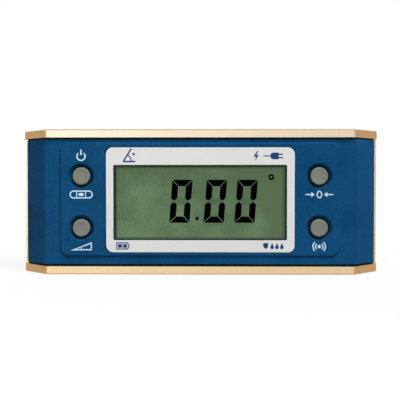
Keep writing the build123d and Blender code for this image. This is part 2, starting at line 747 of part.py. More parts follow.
with BuildPart() as sensor_board:
    with BuildSketch(front_plane(bracket_back)):
        with Locations((SENSOR_X, sensor_z)):
            Rectangle(SENSOR_BOARD_WIDTH, SENSOR_BOARD_HEIGHT)
            with GridLocations(SENSOR_SCREW_PITCH, 0, 2, 1):
                RegularPolygon(small_hole, SCREW_SIDES, mode=Mode.SUBTRACT)
    extrude(amount=-SENSOR_BOARD_THICKNESS)
finish(sensor_board, "sensor_board")

with BuildPart() as sensor_screws:
    with BuildSketch(front_plane(sensor_board_back)):
        with Locations((SENSOR_X, sensor_z)):
            with GridLocations(SENSOR_SCREW_PITCH, 0, 2, 1):
                RegularPolygon(SMALL_SCREW_HEAD_RADIUS, SCREW_SIDES)
    extrude(amount=-SMALL_SCREW_HEAD)
    with BuildSketch(front_plane(sensor_board_back)):
        with Locations((SENSOR_X, sensor_z)):
            with GridLocations(SENSOR_SCREW_PITCH, 0, 2, 1):
                RegularPolygon(SMALL_SCREW_RADIUS, SCREW_SIDES)
    extrude(amount=SENSOR_BOARD_THICKNESS + BRACKET_PLATE)
finish(sensor_screws, "sensor_screws")

with BuildPart() as tilt_sensor:
    with BuildSketch(front_plane(sensor_board_back)):
        with Locations((SENSOR_X, sensor_z)):
            Rectangle(SENSOR_SIDE, SENSOR_SIDE)
    extrude(amount=-SENSOR_HEIGHT)
    chamfer(tilt_sensor.faces().sort_by(Axis.Y)[-1].edges(), EDGE_BREAK)
finish(tilt_sensor, "tilt_sensor")

# Rear cover: a plate in the rear rebate with screw bosses, a battery cradle and the port recess
port_at = (PORT_X, port_z)
with BuildPart() as rear_cover:
    with BuildSketch(front_plane(cover_face)):
        with Locations((0, mid_z)):
            RectangleRounded(
                2 * (rebate_x - COVER_CLEAR),
                rebate_height - 2 * COVER_CLEAR,
                REBATE_RADIUS - COVER_CLEAR,
            )
    extrude(amount=cover_face - cover_inner)
    chamfer(rear_cover.faces().sort_by(Axis.Y)[-1].edges(), EDGE_BREAK)
    with BuildSketch(front_plane(cover_inner)):
        with Locations((0, mid_z)):
            with GridLocations(2 * post_x, post_pitch_z, 2, 2):
                RegularPolygon(POST_RADIUS, SCREW_SIDES)
    extrude(amount=COVER_BOSS_LENGTH)
    with BuildSketch(front_plane(cover_inner)):
        with Locations((BATTERY_X, mid_z)):
            cradle_length = BATTERY_LENGTH + 2 * CRADLE_CLEAR
            cradle_height = BATTERY_HEIGHT + 2 * CRADLE_CLEAR
            Rectangle(cradle_length + 2 * CRADLE_WALL, cradle_height + 2 * CRADLE_WALL)
            Rectangle(cradle_length, cradle_height, mode=Mode.SUBTRACT)
    extrude(amount=CRADLE_HEIGHT)
    with BuildSketch(front_plane(cover_inner)):
        with Locations(port_at):
            Rectangle(PORT_PAD_LENGTH, PORT_PAD_HEIGHT)
    extrude(amount=PORT_PAD)
    with BuildSketch(front_plane(pad_face)):
        with Locations(port_at):
            with GridLocations(PORT_SCREW_PITCH, 0, 2, 1):
                Rectangle(PORT_BOSS_SIDE, PORT_BOSS_SIDE)
    extrude(amount=pad_face - port_board_back)
    with BuildSketch(front_plane(cover_face)):
        with Locations(((recess_start + recess_stop) / 2, port_z)):
            Rectangle(recess_stop - recess_start, FLAP_HEIGHT + 2 * FLAP_SIDE_GAP)
    extrude(amount=cover_face - recess_floor, mode=Mode.SUBTRACT)
    with BuildSketch(front_plane(cover_face)):
        with Locations((recess_stop, port_z)):
            Circle(NOTCH_RADIUS)
    extrude(amount=NOTCH_DEPTH, mode=Mode.SUBTRACT)
    with BuildSketch(front_plane(recess_floor)):
        with Locations(port_at):
            RectangleRounded(slot_length, slot_width, slot_width / 4)
    extrude(amount=recess_floor - pad_face, mode=Mode.SUBTRACT)
    with BuildSketch(front_plane(port_board_back)):
        with Locations(port_at):
            with GridLocations(PORT_SCREW_PITCH, 0, 2, 1):
                RegularPolygon(small_pilot, SCREW_SIDES)
    extrude(amount=-(SMALL_SCREW_BITE + EDGE_BREAK), mode=Mode.SUBTRACT)
    with BuildSketch(front_plane(cover_inner)):
        with Locations((0, mid_z)):
            with GridLocations(2 * post_x, post_pitch_z, 2, 2):
                RegularPolygon(cover_hole, SCREW_SIDES)
    extrude(amount=COVER_BOSS_LENGTH, both=True, mode=Mode.SUBTRACT)
    with Locations(rear_plane(cover_face)):
        with Locations((0, mid_z)):
            with GridLocations(2 * post_x, post_pitch_z, 2, 2):
                Hole(COUNTERBORE_RADIUS, COUNTERBORE_DEPTH)
finish(rear_cover, "rear_cover")

with BuildPart() as rear_gasket:
    with BuildSketch(front_plane(cover_inner)):
        with Locations((0, mid_z)):
            RectangleRounded(2 * rebate_x, rebate_height, REBATE_RADIUS)
            RectangleRounded(2 * cavity_x, cavity_height, CAVITY_RADIUS, mode=Mode.SUBTRACT)
    extrude(amount=GASKET)
finish(rear_gasket, "rear_gasket")

seat_depth = cover_face - COUNTERBORE_DEPTH
with BuildPart() as cover_screws:
    with BuildSketch(front_plane(seat_depth)):
        with Locations((0, mid_z)):
            with GridLocations(2 * post_x, post_pitch_z, 2, 2):
                Circle(COVER_SCREW_HEAD_RADIUS)
    extrude(amount=-COVER_SCREW_HEAD)
    with BuildSketch(front_plane(seat_depth)):
        with Locations((0, mid_z)):
            with GridLocations(2 * post_x, post_pitch_z, 2, 2):
                RegularPolygon(COVER_SCREW_RADIUS, SCREW_SIDES)
    extrude(amount=seat_depth - post_end + COVER_SCREW_BITE)
finish(cover_screws, "cover_screws")

# Battery on its pad
with BuildPart() as battery_pad:
    with BuildSketch(front_plane(battery_back)):
        with Locations((BATTERY_X, mid_z)):
            Rectangle(BATTERY_LENGTH - 2 * PAD_MARGIN, BATTERY_HEIGHT - 2 * PAD_MARGIN)
    extrude(amount=-PAD_THICKNESS)
finish(battery_pad, "battery_pad")

with BuildPart() as battery:
    with BuildSketch(front_plane(battery_face)):
        with Locations((BATTERY_X, mid_z)):
            Rectangle(BATTERY_LENGTH, BATTERY_HEIGHT)
    extrude(amount=-BATTERY_THICKNESS)
    fillet(battery.edges().filter_by(Axis.Z), BATTERY_RADIUS)
finish(battery, "battery")

# Charging port: board, screws, socket shell with its tongue, and sealing flap
with BuildPart() as port_board:
    with BuildSketch(front_plane(port_board_face)):
        with Locations(port_at):
            Rectangle(PORT_BOARD_LENGTH, PORT_BOARD_HEIGHT)
            with GridLocations(PORT_SCREW_PITCH, 0, 2, 1):
                RegularPolygon(small_hole, SCREW_SIDES, mode=Mode.SUBTRACT)
    extrude(amount=-PORT_BOARD_THICKNESS)
finish(port_board, "port_board")

with BuildPart() as port_screws:
    with BuildSketch(front_plane(port_board_face)):
        with Locations(port_at):
            with GridLocations(PORT_SCREW_PITCH, 0, 2, 1):
                RegularPolygon(SMALL_SCREW_HEAD_RADIUS, SCREW_SIDES)
    extrude(amount=SMALL_SCREW_HEAD)
    with BuildSketch(front_plane(port_board_face)):
        with Locations(port_at):
            with GridLocations(PORT_SCREW_PITCH, 0, 2, 1):
                RegularPolygon(SMALL_SCREW_RADIUS, SCREW_SIDES)
    extrude(amount=-(PORT_BOARD_THICKNESS + SMALL_SCREW_BITE))
finish(port_screws, "port_screws")

with BuildPart() as port_socket:
    with BuildSketch(front_plane(port_board_back)):
        with Locations(port_at):
            RectangleRounded(PORT_LENGTH, PORT_WIDTH, PORT_WIDTH / 4)
    extrude(amount=-PORT_HEIGHT)
    with BuildSketch(front_plane(port_board_back + PORT_FLOOR)):
        with Locations(port_at):
            inner_width = PORT_WIDTH - 2 * PORT_SHELL
            Rectangle(PORT_LENGTH - 2 * PORT_SHELL, inner_width)
    extrude(amount=-PORT_HEIGHT, mode=Mode.SUBTRACT)
    with BuildSketch(front_plane(port_board_back)):
        with Locations(port_at):
            Rectangle(TONGUE_LENGTH, TONGUE_WIDTH)
    extrude(amount=-(PORT_HEIGHT - TONGUE_SINK))
finish(port_socket, "port_socket")

with BuildPart() as port_flap:
    with BuildSketch(Plane.XY.offset(port_z - FLAP_HEIGHT / 2)):
        with Locations(((hinge_x + flap_end) / 2, flap_back + FLAP_THICKNESS / 2 - DEPTH / 2)):
            Rectangle(FLAP_LENGTH, FLAP_THICKNESS)
        with Locations((hinge_x, flap_back + FLAP_THICKNESS / 2 - DEPTH / 2)):
            Circle(FLAP_THICKNESS / 2)
    extrude(amount=FLAP_HEIGHT)
    fillet(port_flap.faces().sort_by(Axis.X)[-1].edges().filter_by(Axis.Y), FLAP_THICKNESS)
    with BuildSketch(front_plane(flap_back)):
        with Locations(port_at):
            stub_width = slot_width - 2 * STUB_CLEAR
            RectangleRounded(slot_length - 2 * STUB_CLEAR, stub_width, stub_width / 4)
    extrude(amount=STUB_REACH)
finish(port_flap, "port_flap")
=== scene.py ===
"""Looks of the digital spirit level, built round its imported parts.

Metres, Z up, the display faces -Y and the level stands on Z = 0. The classes hold their sizes in millimetres.
"""
import logging
import math
from dataclasses import dataclass, field, replace
from enum import Enum
from functools import cache
from typing import Sequence

import bmesh
import bpy
from mathutils import Matrix, Vector


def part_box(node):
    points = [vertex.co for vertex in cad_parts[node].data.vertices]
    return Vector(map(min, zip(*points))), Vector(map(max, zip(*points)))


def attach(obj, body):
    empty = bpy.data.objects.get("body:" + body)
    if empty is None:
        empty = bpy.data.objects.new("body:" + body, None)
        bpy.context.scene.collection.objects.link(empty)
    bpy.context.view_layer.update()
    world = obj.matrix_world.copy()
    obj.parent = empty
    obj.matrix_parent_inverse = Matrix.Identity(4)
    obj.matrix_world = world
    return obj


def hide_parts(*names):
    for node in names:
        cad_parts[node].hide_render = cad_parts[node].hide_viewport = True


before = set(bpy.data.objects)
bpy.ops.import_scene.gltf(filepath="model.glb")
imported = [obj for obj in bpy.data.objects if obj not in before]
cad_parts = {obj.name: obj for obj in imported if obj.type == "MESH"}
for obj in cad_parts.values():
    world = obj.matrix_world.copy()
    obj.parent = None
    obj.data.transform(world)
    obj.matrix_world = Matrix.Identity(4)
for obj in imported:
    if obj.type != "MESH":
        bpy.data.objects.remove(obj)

log = logging.getLogger("level")

MM = 0.001
CASE = "case"
WHITE = "#FFFFFF"
RING_POINTS = 48
SHARP_EDGE = math.radians(35)

Point = tuple[float, float]
Place = tuple[float, float, float]
Sides = tuple[float, float, float, float]
Outline = Sequence[Point]
Rings = list[tuple[float, Outline]]
Tree = bpy.types.NodeTree
Node = bpy.types.Node
Socket = bpy.types.NodeSocket
Inputs = dict[str | int, object]
Mesh = bmesh.types.BMesh
Loop = list[bmesh.types.BMVert]


class Button(Enum):
    """Push buttons of the level."""

    POWER = "power"
    TILT = "tilt"
    ZERO = "zero"
    SOUND = "sound"


def linear(code: str) -> tuple[float, float, float, float]:
    """Turn an sRGB hex code into a linear colour.

    Args:
        code: Six hex digits after a hash sign.

    Returns:
        Red, green, blue and an alpha of one.
    """
    shares = [int(code[i : i + 2], 16) / 255 for i in (1, 3, 5)]
    red, green, blue = ((s / 12.92) if s <= 0.04045 else ((s + 0.055) / 1.055) ** 2.4 for s in shares)
    return red, green, blue, 1.0


def per_mm(size: float) -> float:
    """Texture scale whose pattern repeats about every size millimetres."""
    return 1 / (size * MM)


def span(ends: Point) -> Inputs:
    """Inputs of a range that runs from one end to the other."""
    return {"From Min": ends[0], "From Max": ends[1]}


def add_node(tree: Tree, kind: str, inputs: Inputs | None = None, **settings: object) -> Node:
    """Add one shader node with its settings, values and links.

    Args:
        tree: The node tree that gets the node.
        kind: Blender's name for the node's type, after ShaderNode.
        inputs: Values, output sockets, or nodes for their first open output, by the name of an open input or
            its number among them.
        settings: Properties of the node.

    Returns:
        The new node.
    """
    node = tree.nodes.new(f"ShaderNode{kind}")
    for name, value in settings.items():
        setattr(node, name, value)
    sockets = [socket for socket in node.inputs if socket.enabled]
    names = [socket.name for socket in sockets]
    for key, value in (inputs or {}).items():
        socket = sockets[names.index(key) if isinstance(key, str) else key]
        source = next(out for out in value.outputs if out.enabled) if isinstance(value, Node) else value
        if isinstance(source, Socket):
            tree.links.new(source, socket)
        else:
            socket.default_value = source
    return node


@dataclass(frozen=True)
class Texture:
    """What the patterns of a finish grow from."""

    tree: Tree
    place: Socket  # place on the part in metres
    fine: Node  # noise of the surface grain
    slow: Node  # noise of the slow colour drift


@dataclass(frozen=True)
class Finish:
    """One real material with the way its surface was made, colours in sRGB hex and sizes in millimetres."""

    name: str
    colour: str
    tone: str  # colour that the grain drifts to
    roughness: float
    spread: float = 0.05  # how far the roughness drifts either way
    grain: float = 0.4  # size of the surface grain
    relief: float = 0.01  # height of the grain
    mottle: float = 6.0  # size of the slow colour drift
    details: Point = (2.0, 3.0)  # octaves of the grain's noise and of the slow one
    drift: Point = (0.1, 0.45)  # product of both noises at which the tone starts, and at which it is full
    metallic: float = 0.0
    specular: float = 0.5  # strength of the plain reflection
    ior: float = 1.5
    coat: float = 0.0  # weight of a clear layer on top
    coat_roughness: float = 0.3

    def material(self) -> bpy.types.Material:
        """Make the material, or find the one made before.

        Returns:
            The material.
        """
        made = bpy.data.materials.get(self.name)
        if made:
            return made
        made = bpy.data.materials.new(self.name)
        made.use_nodes = True
        made.node_tree.nodes.clear()
        add_node(made.node_tree, "OutputMaterial", {"Surface": self.surface(made.node_tree)})
        return made

    def surface(self, tree: Tree) -> Node:
        """Shader of the surface."""
        return add_node(tree, "BsdfPrincipled", self.values() | self.patterns(tree))

    def values(self) -> Inputs:
        """Shader inputs that are the same all over the surface."""
        coat = {"Coat Weight": self.coat, "Coat Roughness": self.coat_roughness}
        return {"Metallic": self.metallic, "Specular IOR Level": self.specular, "IOR": self.ior, **coat}

    def patterns(self, tree: Tree) -> Inputs:
        """Grow colour, roughness and relief from the grain and the slow drift.

        Args:
            tree: Node tree of the material.

        Returns:
            Shader inputs that change over the surface.
        """
        place = add_node(tree, "TexCoord").outputs["Object"]
        fine, slow = (
            add_node(tree, "TexNoise", {"Vector": place, "Scale": per_mm(size), "Detail": detail})
            for size, detail in zip((self.grain, self.mottle), self.details)
        )
        texture = Texture(tree, place, fine, slow)
        bump = add_node(tree, "Bump", {"Height": fine, "Distance": self.relief * MM})
        return {"Base Color": self.paint(texture), "Roughness": self.polish(texture), "Normal": bump}

    def polish(self, texture: Texture) -> Node:
        """Roughness that drifts with the grain."""
        ends = {"To Min": self.roughness - self.spread, "To Max": self.roughness + self.spread}
        return add_node(texture.tree, "MapRange", {"Value": texture.fine, **ends})

    def paint(self, texture: Texture) -> Node:
        """Main colour that drifts to the tone."""
        tones = {"Factor": self.tone_share(texture), "A": linear(self.colour), "B": linear(self.tone)}
        return add_node(texture.tree, "Mix", tones, data_type="RGBA")

    def tone_share(self, texture: Texture) -> Node:
        """Share of the tone, which grain and mottle bring in."""
        both = add_node(texture.tree, "Math", {0: texture.fine, 1: texture.slow}, operation="MULTIPLY")
        return add_node(texture.tree, "MapRange", {"Value": both, **span(self.drift)})


@dataclass(frozen=True)
class RailFinish(Finish):
    """Blasted metal whose display side was finished by grinding after blasting, with a lower roughness there,
    and a paler colour that is a painted highlight.
    """

    ground_highlight: str = "#DCC29A"  # paler colour of the lower rail's faces towards the display side: a painted highlight
    upper_ground_highlight: str = "#DBCAB3"  # paler and whiter colour of the upper rail's faces towards the display side: a painted highlight, with painted light from above
    ground_roughness: float = 0.47
    ground_grain: str = "#F4F2EF"  # tint of the darker specks that the wheel left
    blasted_grain: str = "#F2F0ED"  # tint of the darker dimples that the beads left
    specks: Point = (0.4, 0.6)  # noise at which specks and dimples start, and at which they are full
    rails: Point = (0.002, 0.058)  # Z of the lower and the upper rail in metres, between which the painted highlight turns from the lower rail's to the upper one's
    front: Point = (-0.9, -0.98)  # Y of the normal at which the display side starts, and at which it is full

    def front_share(self, tree: Tree) -> Node:
        """One on faces towards the display side, else nought."""
        normal = add_node(tree, "SeparateXYZ", {"Vector": add_node(tree, "TexCoord").outputs["Normal"]})
        return add_node(tree, "MapRange", {"Value": normal.outputs["Y"], **span(self.front)})

    def polish(self, texture: Texture) -> Node:
        """Roughness of the blasted faces, and a lower one of the faces towards the display side."""
        ends = {"To Min": super().polish(texture), "To Max": self.ground_roughness}
        return add_node(texture.tree, "MapRange", {"Value": self.front_share(texture.tree), **ends})

    def paint(self, texture: Texture) -> Node:
        """Give the faces towards the display side a paler colour, a painted highlight that grows paler
        towards the upper rail, and the others the blasted one.

        Args:
            texture: What the patterns grow from.

        Returns:
            The colour, with its grain.
        """
        tree = texture.tree
        front = self.front_share(tree)
        height = add_node(tree, "SeparateXYZ", {"Vector": texture.place}).outputs["Z"]
        # painted light from above: share of the upper rail's paler highlight, by height
        top_light_share = add_node(tree, "MapRange", {"Value": height, **span(self.rails)})
        specks = add_node(tree, "MapRange", {"Value": texture.fine, **span(self.specks)})
        tones = {"Factor": top_light_share, "A": linear(self.ground_highlight), "B": linear(self.upper_ground_highlight)}
        ground_highlight = add_node(tree, "Mix", tones, data_type="RGBA")
        # faces towards the display side take the painted highlight in place of the blasted colour
        tones = {"Factor": front, "A": super().paint(texture), "B": ground_highlight}
        metal = add_node(tree, "Mix", tones, data_type="RGBA")
        tones = {"Factor": front, "A": linear(self.blasted_grain), "B": linear(self.ground_grain)}
        grain = add_node(tree, "Mix", tones, data_type="RGBA")
        tones = {"Factor": specks, "A": linear(WHITE), "B": grain}
        tint = add_node(tree, "Mix", tones, data_type="RGBA")
        return add_node(tree, "VectorMath", {0: metal, 1: tint}, operation="MULTIPLY")


@dataclass(frozen=True)
class LcdFinish(Finish):
    """Polariser over a liquid crystal cell: cloudy green, with a painted glow that lifts the shade which the
    plate throws on the cell.
    """

    glow: str = "#5F7857"  # colour of the painted glow, which lifts the shade in the cell
    painted_glow_strength: float = 0.72  # share of full white at which the painted glow shines
    painted_light_fall: Place = (-2.6, 0.0, -6.0)  # change of the clouds' share per metre along X, Y and Z: painted light, paler towards the lower left
    middle: float = 0.03  # Z of the cell's middle in metres
    dust: float = 0.42  # share of the fine noise in the clouds, as the film's matt grain gives
    clouds: Point = (0.63, 1.01)  # sum of both noises at which the clouds start, and at which they are full

    def values(self) -> Inputs:
        """Shader inputs with the painted glow."""
        return super().values() | {"Emission Color": linear(self.glow), "Emission Strength": self.painted_glow_strength}

    def tone_share(self, texture: Texture) -> Node:
        """Draw soft clouds with a fine dusty grain, and painted light that makes them paler towards the lower
        left.

        Args:
            texture: What the patterns grow from.

        Returns:
            Share of the clouds in the colour.
        """
        tree, vector = texture.tree, "VectorMath"
        offset = add_node(tree, vector, {0: texture.place, 1: (0.0, 0.0, self.middle)}, operation="SUBTRACT")
        # painted light: the clouds' share grows towards the lower left
        slope = add_node(tree, vector, {0: offset, 1: self.painted_light_fall}, operation="DOT_PRODUCT")
        clouds_and_painted_light = add_node(tree, "Math", {0: texture.slow, 1: slope}, operation="ADD")
        grain = {0: texture.fine, 1: self.dust, 2: clouds_and_painted_light}
        dusted = add_node(tree, "Math", grain, operation="MULTIPLY_ADD")
        return add_node(tree, "MapRange", {"Value": dusted, **span(self.clouds)})


@dataclass(frozen=True)
class ClearFinish(Finish):
    """Clear sheet under an anti-reflection coat, which lets the lamps through to what lies behind it."""

    glare: str = "#000000"  # colour of what the coat still reflects

    def values(self) -> Inputs:
        """Shader inputs of a clear sheet."""
        return super().values() | {"Specular Tint": linear(self.glare), "Transmission Weight": 1.0}

    def patterns(self, tree: Tree) -> Inputs:
        """Shader inputs that are as even as the sheet's polish."""
        return {"Base Color": linear(self.colour), "Roughness": self.roughness}

    def surface(self, tree: Tree) -> Node:
        """Let rays from lamps pass straight through.

        Args:
            tree: Node tree of the material.

        Returns:
            Shader of the surface.
        """
        lamp_ray = add_node(tree, "LightPath").outputs["Is Shadow Ray"]
        open_way = add_node(tree, "BsdfTransparent")
        return add_node(tree, "MixShader", {0: lamp_ray, 1: super().surface(tree), 2: open_way})


@dataclass(frozen=True)
class BoardFinish(Finish):
    """Circuit board: solder mask over copper tracks that show as paler lines."""

    track: str = "#3F7F4A"  # colour of the mask over a track
    pitch: float = 1.6  # distance between the tracks
    edge: Point = (0.62, 0.68)  # share of the pitch at which a track starts, and at which it is full

    def paint(self, texture: Texture) -> Node:
        """Draw tracks in the green mask.

        Args:
            texture: What the patterns grow from.

        Returns:
            The colour.
        """
        tree = texture.tree
        cells = {"Vector": texture.place, "Scale": per_mm(self.pitch)}
        away = add_node(tree, "TexVoronoi", cells, distance="MANHATTAN", feature="F1")
        share = add_node(tree, "MapRange", {"Value": away, **span(self.edge)})
        tones = {"Factor": share, "A": super().paint(texture), "B": linear(self.track)}
        return add_node(tree, "Mix", tones, data_type="RGBA")


# Real blasted, spark-eroded and moulded grains are 0.05 to 0.2 mm wide. A pixel of the front view covers
# 0.43 mm, so they are drawn 0.25 to 0.8 mm wide, as coarse as they need to show.

# Champagne-gold anodised aluminium, bead-blasted: satin metal under a clear oxide layer, with a fine grain
GOLD = RailFinish(
    "champagne_anodised_aluminium_bead_blasted", colour="#C8A068", tone="#C19861", roughness=0.55, grain=0.5,
    relief=0.02, mottle=14.0, metallic=1.0, coat=0.3, coat_roughness=0.35,
)
# ABS moulded in a spark-eroded tool: matt blue with a fine sandy grain
BLUE = Finish(
    "blue_abs_spark_eroded_texture", colour="#0C426C", tone="#185785", roughness=0.5, grain=0.6, relief=0.03,
    mottle=18.0, specular=0.02, ior=1.53,
)
# Polycarbonate plate, cast and back-printed white: even and satin
PLATE = Finish(
    "white_polycarbonate_back_printed", colour="#E6E6E5", tone="#E2E2E1", roughness=0.36, grain=0.6,
    relief=0.002, mottle=20.0, specular=0.3, ior=1.58,
)
# Acrylic sheet, cast, polished and coated against reflections: clear
WINDOW = ClearFinish("clear_acrylic_polished", colour=WHITE, tone=WHITE, roughness=0.0, ior=1.49)
# Polariser film, laminated to the liquid crystal cell: cloudy grey-green, with a painted glow and painted
# light towards the lower left
CELL = LcdFinish(
    "green_polariser_film_laminated_painted_glow", colour="#161E14", tone="#46583F", roughness=0.5, grain=0.8,
    relief=0.001, mottle=13.0, specular=0.1,
)
# Silicone rubber of the buttons, compression moulded: warm grey and softly matt
GREY_RUBBER = Finish(
    "grey_silicone_rubber_moulded", colour="#757971", tone="#858981", roughness=0.55, grain=0.35,
    relief=0.006, mottle=5.0, specular=0.25, ior=1.43,
)
# Nitrile rubber, rolled and die-cut: black and dull
GASKET = Finish("black_nitrile_rubber_die_cut", colour="#08090B", tone="#101114", roughness=0.7, specular=0.1)
# Silicone rubber of the port flap, moulded: off-black with a soft sheen
FLAP = Finish(
    "black_silicone_rubber_moulded", colour="#17181A", tone="#202124", roughness=0.55, relief=0.008,
    specular=0.35, ior=1.43,
)
# Liquid crystal film under an etched electrode, switched on: dense black
SEGMENT = Finish(
    "dark_liquid_crystal_film_etched", colour="#020202", tone="#040504", roughness=0.6, grain=0.5,
    relief=0.001, specular=0.0,
)
# Liquid crystal film under an etched electrode, switched off: a shade under the cell's own green, with a
# dimmer painted glow
IDLE = LcdFinish(
    "idle_liquid_crystal_film_etched", colour="#161E14", tone="#232E20", glow="#577050", roughness=0.6,
    grain=0.5, relief=0.001, specular=0.05,
)
# Painted shade round the cell's edge, drawn as a dark band with a dim painted glow
CELL_EDGE_SHADE = replace(IDLE, name="painted_shade_cell_edge", colour="#0B100A", tone="#121810", glow="#354731")
# Painted shade in a band inside that one: a dimmer green than the cell
CELL_INNER_SHADE = replace(
    IDLE, name="painted_shade_cell_inner", colour="#10160F", tone="#1C2519", glow="#51664A"
)
# Silicone sealant in the joint round the white plate, wiped flush: black and dull
SEALANT = Finish(
    "black_silicone_sealant_wiped", colour="#04070B", tone="#080C12", roughness=0.65, grain=0.3, mottle=2.0,
    specular=0.05,
)
# Ink, pad-printed on the blue panel: opaque pale blue-white
PALE_INK = Finish(
    "pale_ink_pad_printed", colour="#CDE7F8", tone="#C3DFF2", roughness=0.5, grain=0.3, relief=0.002,
    mottle=2.0, specular=0.2,
)
# Ink, screen-printed on the white plate: opaque navy
NAVY_INK = replace(PALE_INK, name="navy_ink_screen_printed", colour="#113A6C", tone="#164072")
# Glass-filled polyester, moulded: black with a faint sheen
BLACK = Finish(
    "black_pbt_moulded", colour="#101113", tone="#191A1D", roughness=0.5, relief=0.006, specular=0.3
)
# Acrylic light guide, moulded and frosted: milky
GUIDE = Finish(
    "milky_acrylic_frosted", colour="#E4E9E4", tone="#DAE0DA", roughness=0.4, grain=0.5, relief=0.004
)
# Silicone contact strip, layered from carbon-filled and plain sheets: dark pink-grey
CONTACT = Finish(
    "silicone_contact_strip_layered", colour="#8C6F72", tone="#3A3032", roughness=0.6, grain=0.25, mottle=0.5
)
# Glass-epoxy board, solder-masked: satin green with paler tracks
BOARD = BoardFinish(
    "green_glass_epoxy_solder_masked", colour="#1F5A33", tone="#24633A", roughness=0.35, grain=0.5
)
# Steel screws, zinc plated: bright with a bluish drift
STEEL = Finish(
    "steel_zinc_plated", colour="#B9BDC2", tone="#A9ADB3", roughness=0.3, grain=0.25, relief=0.004,
    mottle=1.5, metallic=1.0,
)
# Nickel on magnets and sockets, barrel plated: bright, faintly warm
NICKEL = Finish(
    "nickel_barrel_plated", colour="#C9C6BF", tone="#BBB7AE", roughness=0.24, grain=0.3, relief=0.003,
    mottle=3.0, metallic=1.0,
)
# Aluminium sheet, rolled, cut and bent: bare dull silver
SHEET = Finish(
    "bare_aluminium_rolled", colour="#BFC1C3", tone="#AFB1B4", roughness=0.38, relief=0.006, metallic=1.0
)
# Foil of a pouch cell, laminated: dull silver with soft creases
FOIL = Finish(
    "battery_foil_laminated", colour="#A8ABAE", tone="#97999C", roughness=0.4, grain=1.2, relief=0.03,
    metallic=0.8,
)
# Nylon socket, moulded: creamy white
NYLON = Finish("natural_nylon_moulded", colour="#E6E2D6", tone="#DBD7CA", roughness=0.45, relief=0.005)
# Closed-cell foam, foamed and cut: dark grey and porous
FOAM = Finish("grey_foam_cut", colour="#2A2B2D", tone="#3A3B3E", roughness=0.9, grain=0.5, relief=0.06)

SLOT_FINISHES: dict[str, Finish] = {
    "gold_anodised": GOLD,
    "blue_abs": BLUE,
    "white_plate": PLATE,
    "clear_window": WINDOW,
    "lcd_cell": CELL,
    "light_guide": GUIDE,
    "black_plastic": BLACK,
    "black_rubber": GASKET,
    "grey_rubber": GREY_RUBBER,
    "zebra_rubber": CONTACT,
    "circuit_board": BOARD,
    "steel": STEEL,
    "nickel": NICKEL,
    "bare_aluminium": SHEET,
    "battery_foil": FOIL,
    "white_nylon": NYLON,
    "foam": FOAM,
}


@cache
def box_of(node: str) -> tuple[Vector, Vector]:
    """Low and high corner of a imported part's box, in millimetres."""
    low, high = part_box(node)
    return low / MM, high / MM


def middle_of(node: str) -> Point:
    """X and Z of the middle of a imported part's box, in millimetres."""
    low, high = box_of(node)
    return (low.x + high.x) / 2, (low.z + high.z) / 2


def add_object(name: str, data: bpy.types.ID) -> bpy.types.Object:
    """Put new data into the scene.

    Args:
        name: Name of the object.
        data: Its mesh, camera or light.

    Returns:
        The new object.
    """
    thing = bpy.data.objects.new(name, data)
    bpy.context.scene.collection.objects.link(thing)
    return thing


def add_piece(name: str, mesh: Mesh, finish: Finish, body: str = CASE) -> bpy.types.Object:
    """Turn finished mesh data into a piece that rides on a body.

    Args:
        name: Name of the piece.
        mesh: Its geometry in metres, which is freed.
        finish: Its finish.
        body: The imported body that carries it.

    Returns:
        The new object.
    """
    bmesh.ops.recalc_face_normals(mesh, faces=mesh.faces)
    data = bpy.data.meshes.new(name)
    mesh.to_mesh(data)
    mesh.free()
    data.shade_smooth()
    data.set_sharp_from_angle(angle=SHARP_EDGE)
    piece = add_object(name, data)
    data.materials.append(finish.material())
    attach(piece, body)
    log.info("piece %s: %d faces", name, len(data.polygons))
    return piece


def oval(half_width: float, half_height: float, centre: Point = (0.0, 0.0), steps: int = 28) -> list[Point]:
    """Points of an oval."""
    turns = [2 * math.pi * i / steps for i in range(steps)]
    return [(centre[0] + half_width * math.cos(t), centre[1] + half_height * math.sin(t)) for t in turns]


def capsule(length: float, height: float, steps: int = 12) -> list[Point]:
    """Draw a lying bar with round ends.

    Args:
        length: Length over both ends.
        height: Height, which is also the ends' diameter.
        steps: Edges of each end.

    Returns:
        Points of the bar, round its middle.
    """
    radius, reach = height / 2, (length - height) / 2
    turns = [math.pi * (i / steps - 0.5) for i in range(steps + 1)]
    right = [(reach + radius * math.cos(t), radius * math.sin(t)) for t in turns]
    return right + [(-x, -z) for x, z in right]


def drop(radius: float, tip: float, shoulder: float = 150.0, steps: int = 12) -> list[Point]:
    """Points of a drop of water round its middle, whose round part starts at the shoulder's angle."""
    turns = [math.radians(shoulder + 2 * (270 - shoulder) * i / steps) for i in range(steps + 1)]
    return [(0.0, tip)] + [(radius * math.cos(t), radius * (1 + math.sin(t)) - tip) for t in turns]


def circle(radius: float) -> list[Point]:
    """Points of a circle round an axis, as many as every ring of a loft has."""
    return oval(radius, radius, steps=RING_POINTS)


def polygon(sides: int, across: float) -> list[Point]:
    """Draw a regular polygon round an axis.

    Args:
        sides: Number of its sides.
        across: Width across its flats.

    Returns:
        One point for each point of a circle.
    """
    half, inner = math.pi / sides, circle(across / 2)
    turns = [(math.atan2(z, x) + half) % (2 * half) - half for x, z in inner]
    return [(x / math.cos(t), z / math.cos(t)) for (x, z), t in zip(inner, turns)]


def rounded(length: float, height: float, radius: float) -> list[Point]:
    """Points of a rectangle with round corners round an axis, one for each point of a circle."""
    far, up = length / 2 - radius, height / 2 - radius
    return [(math.copysign(far, x) + radius * x, math.copysign(up, z) + radius * z) for x, z in circle(1.0)]


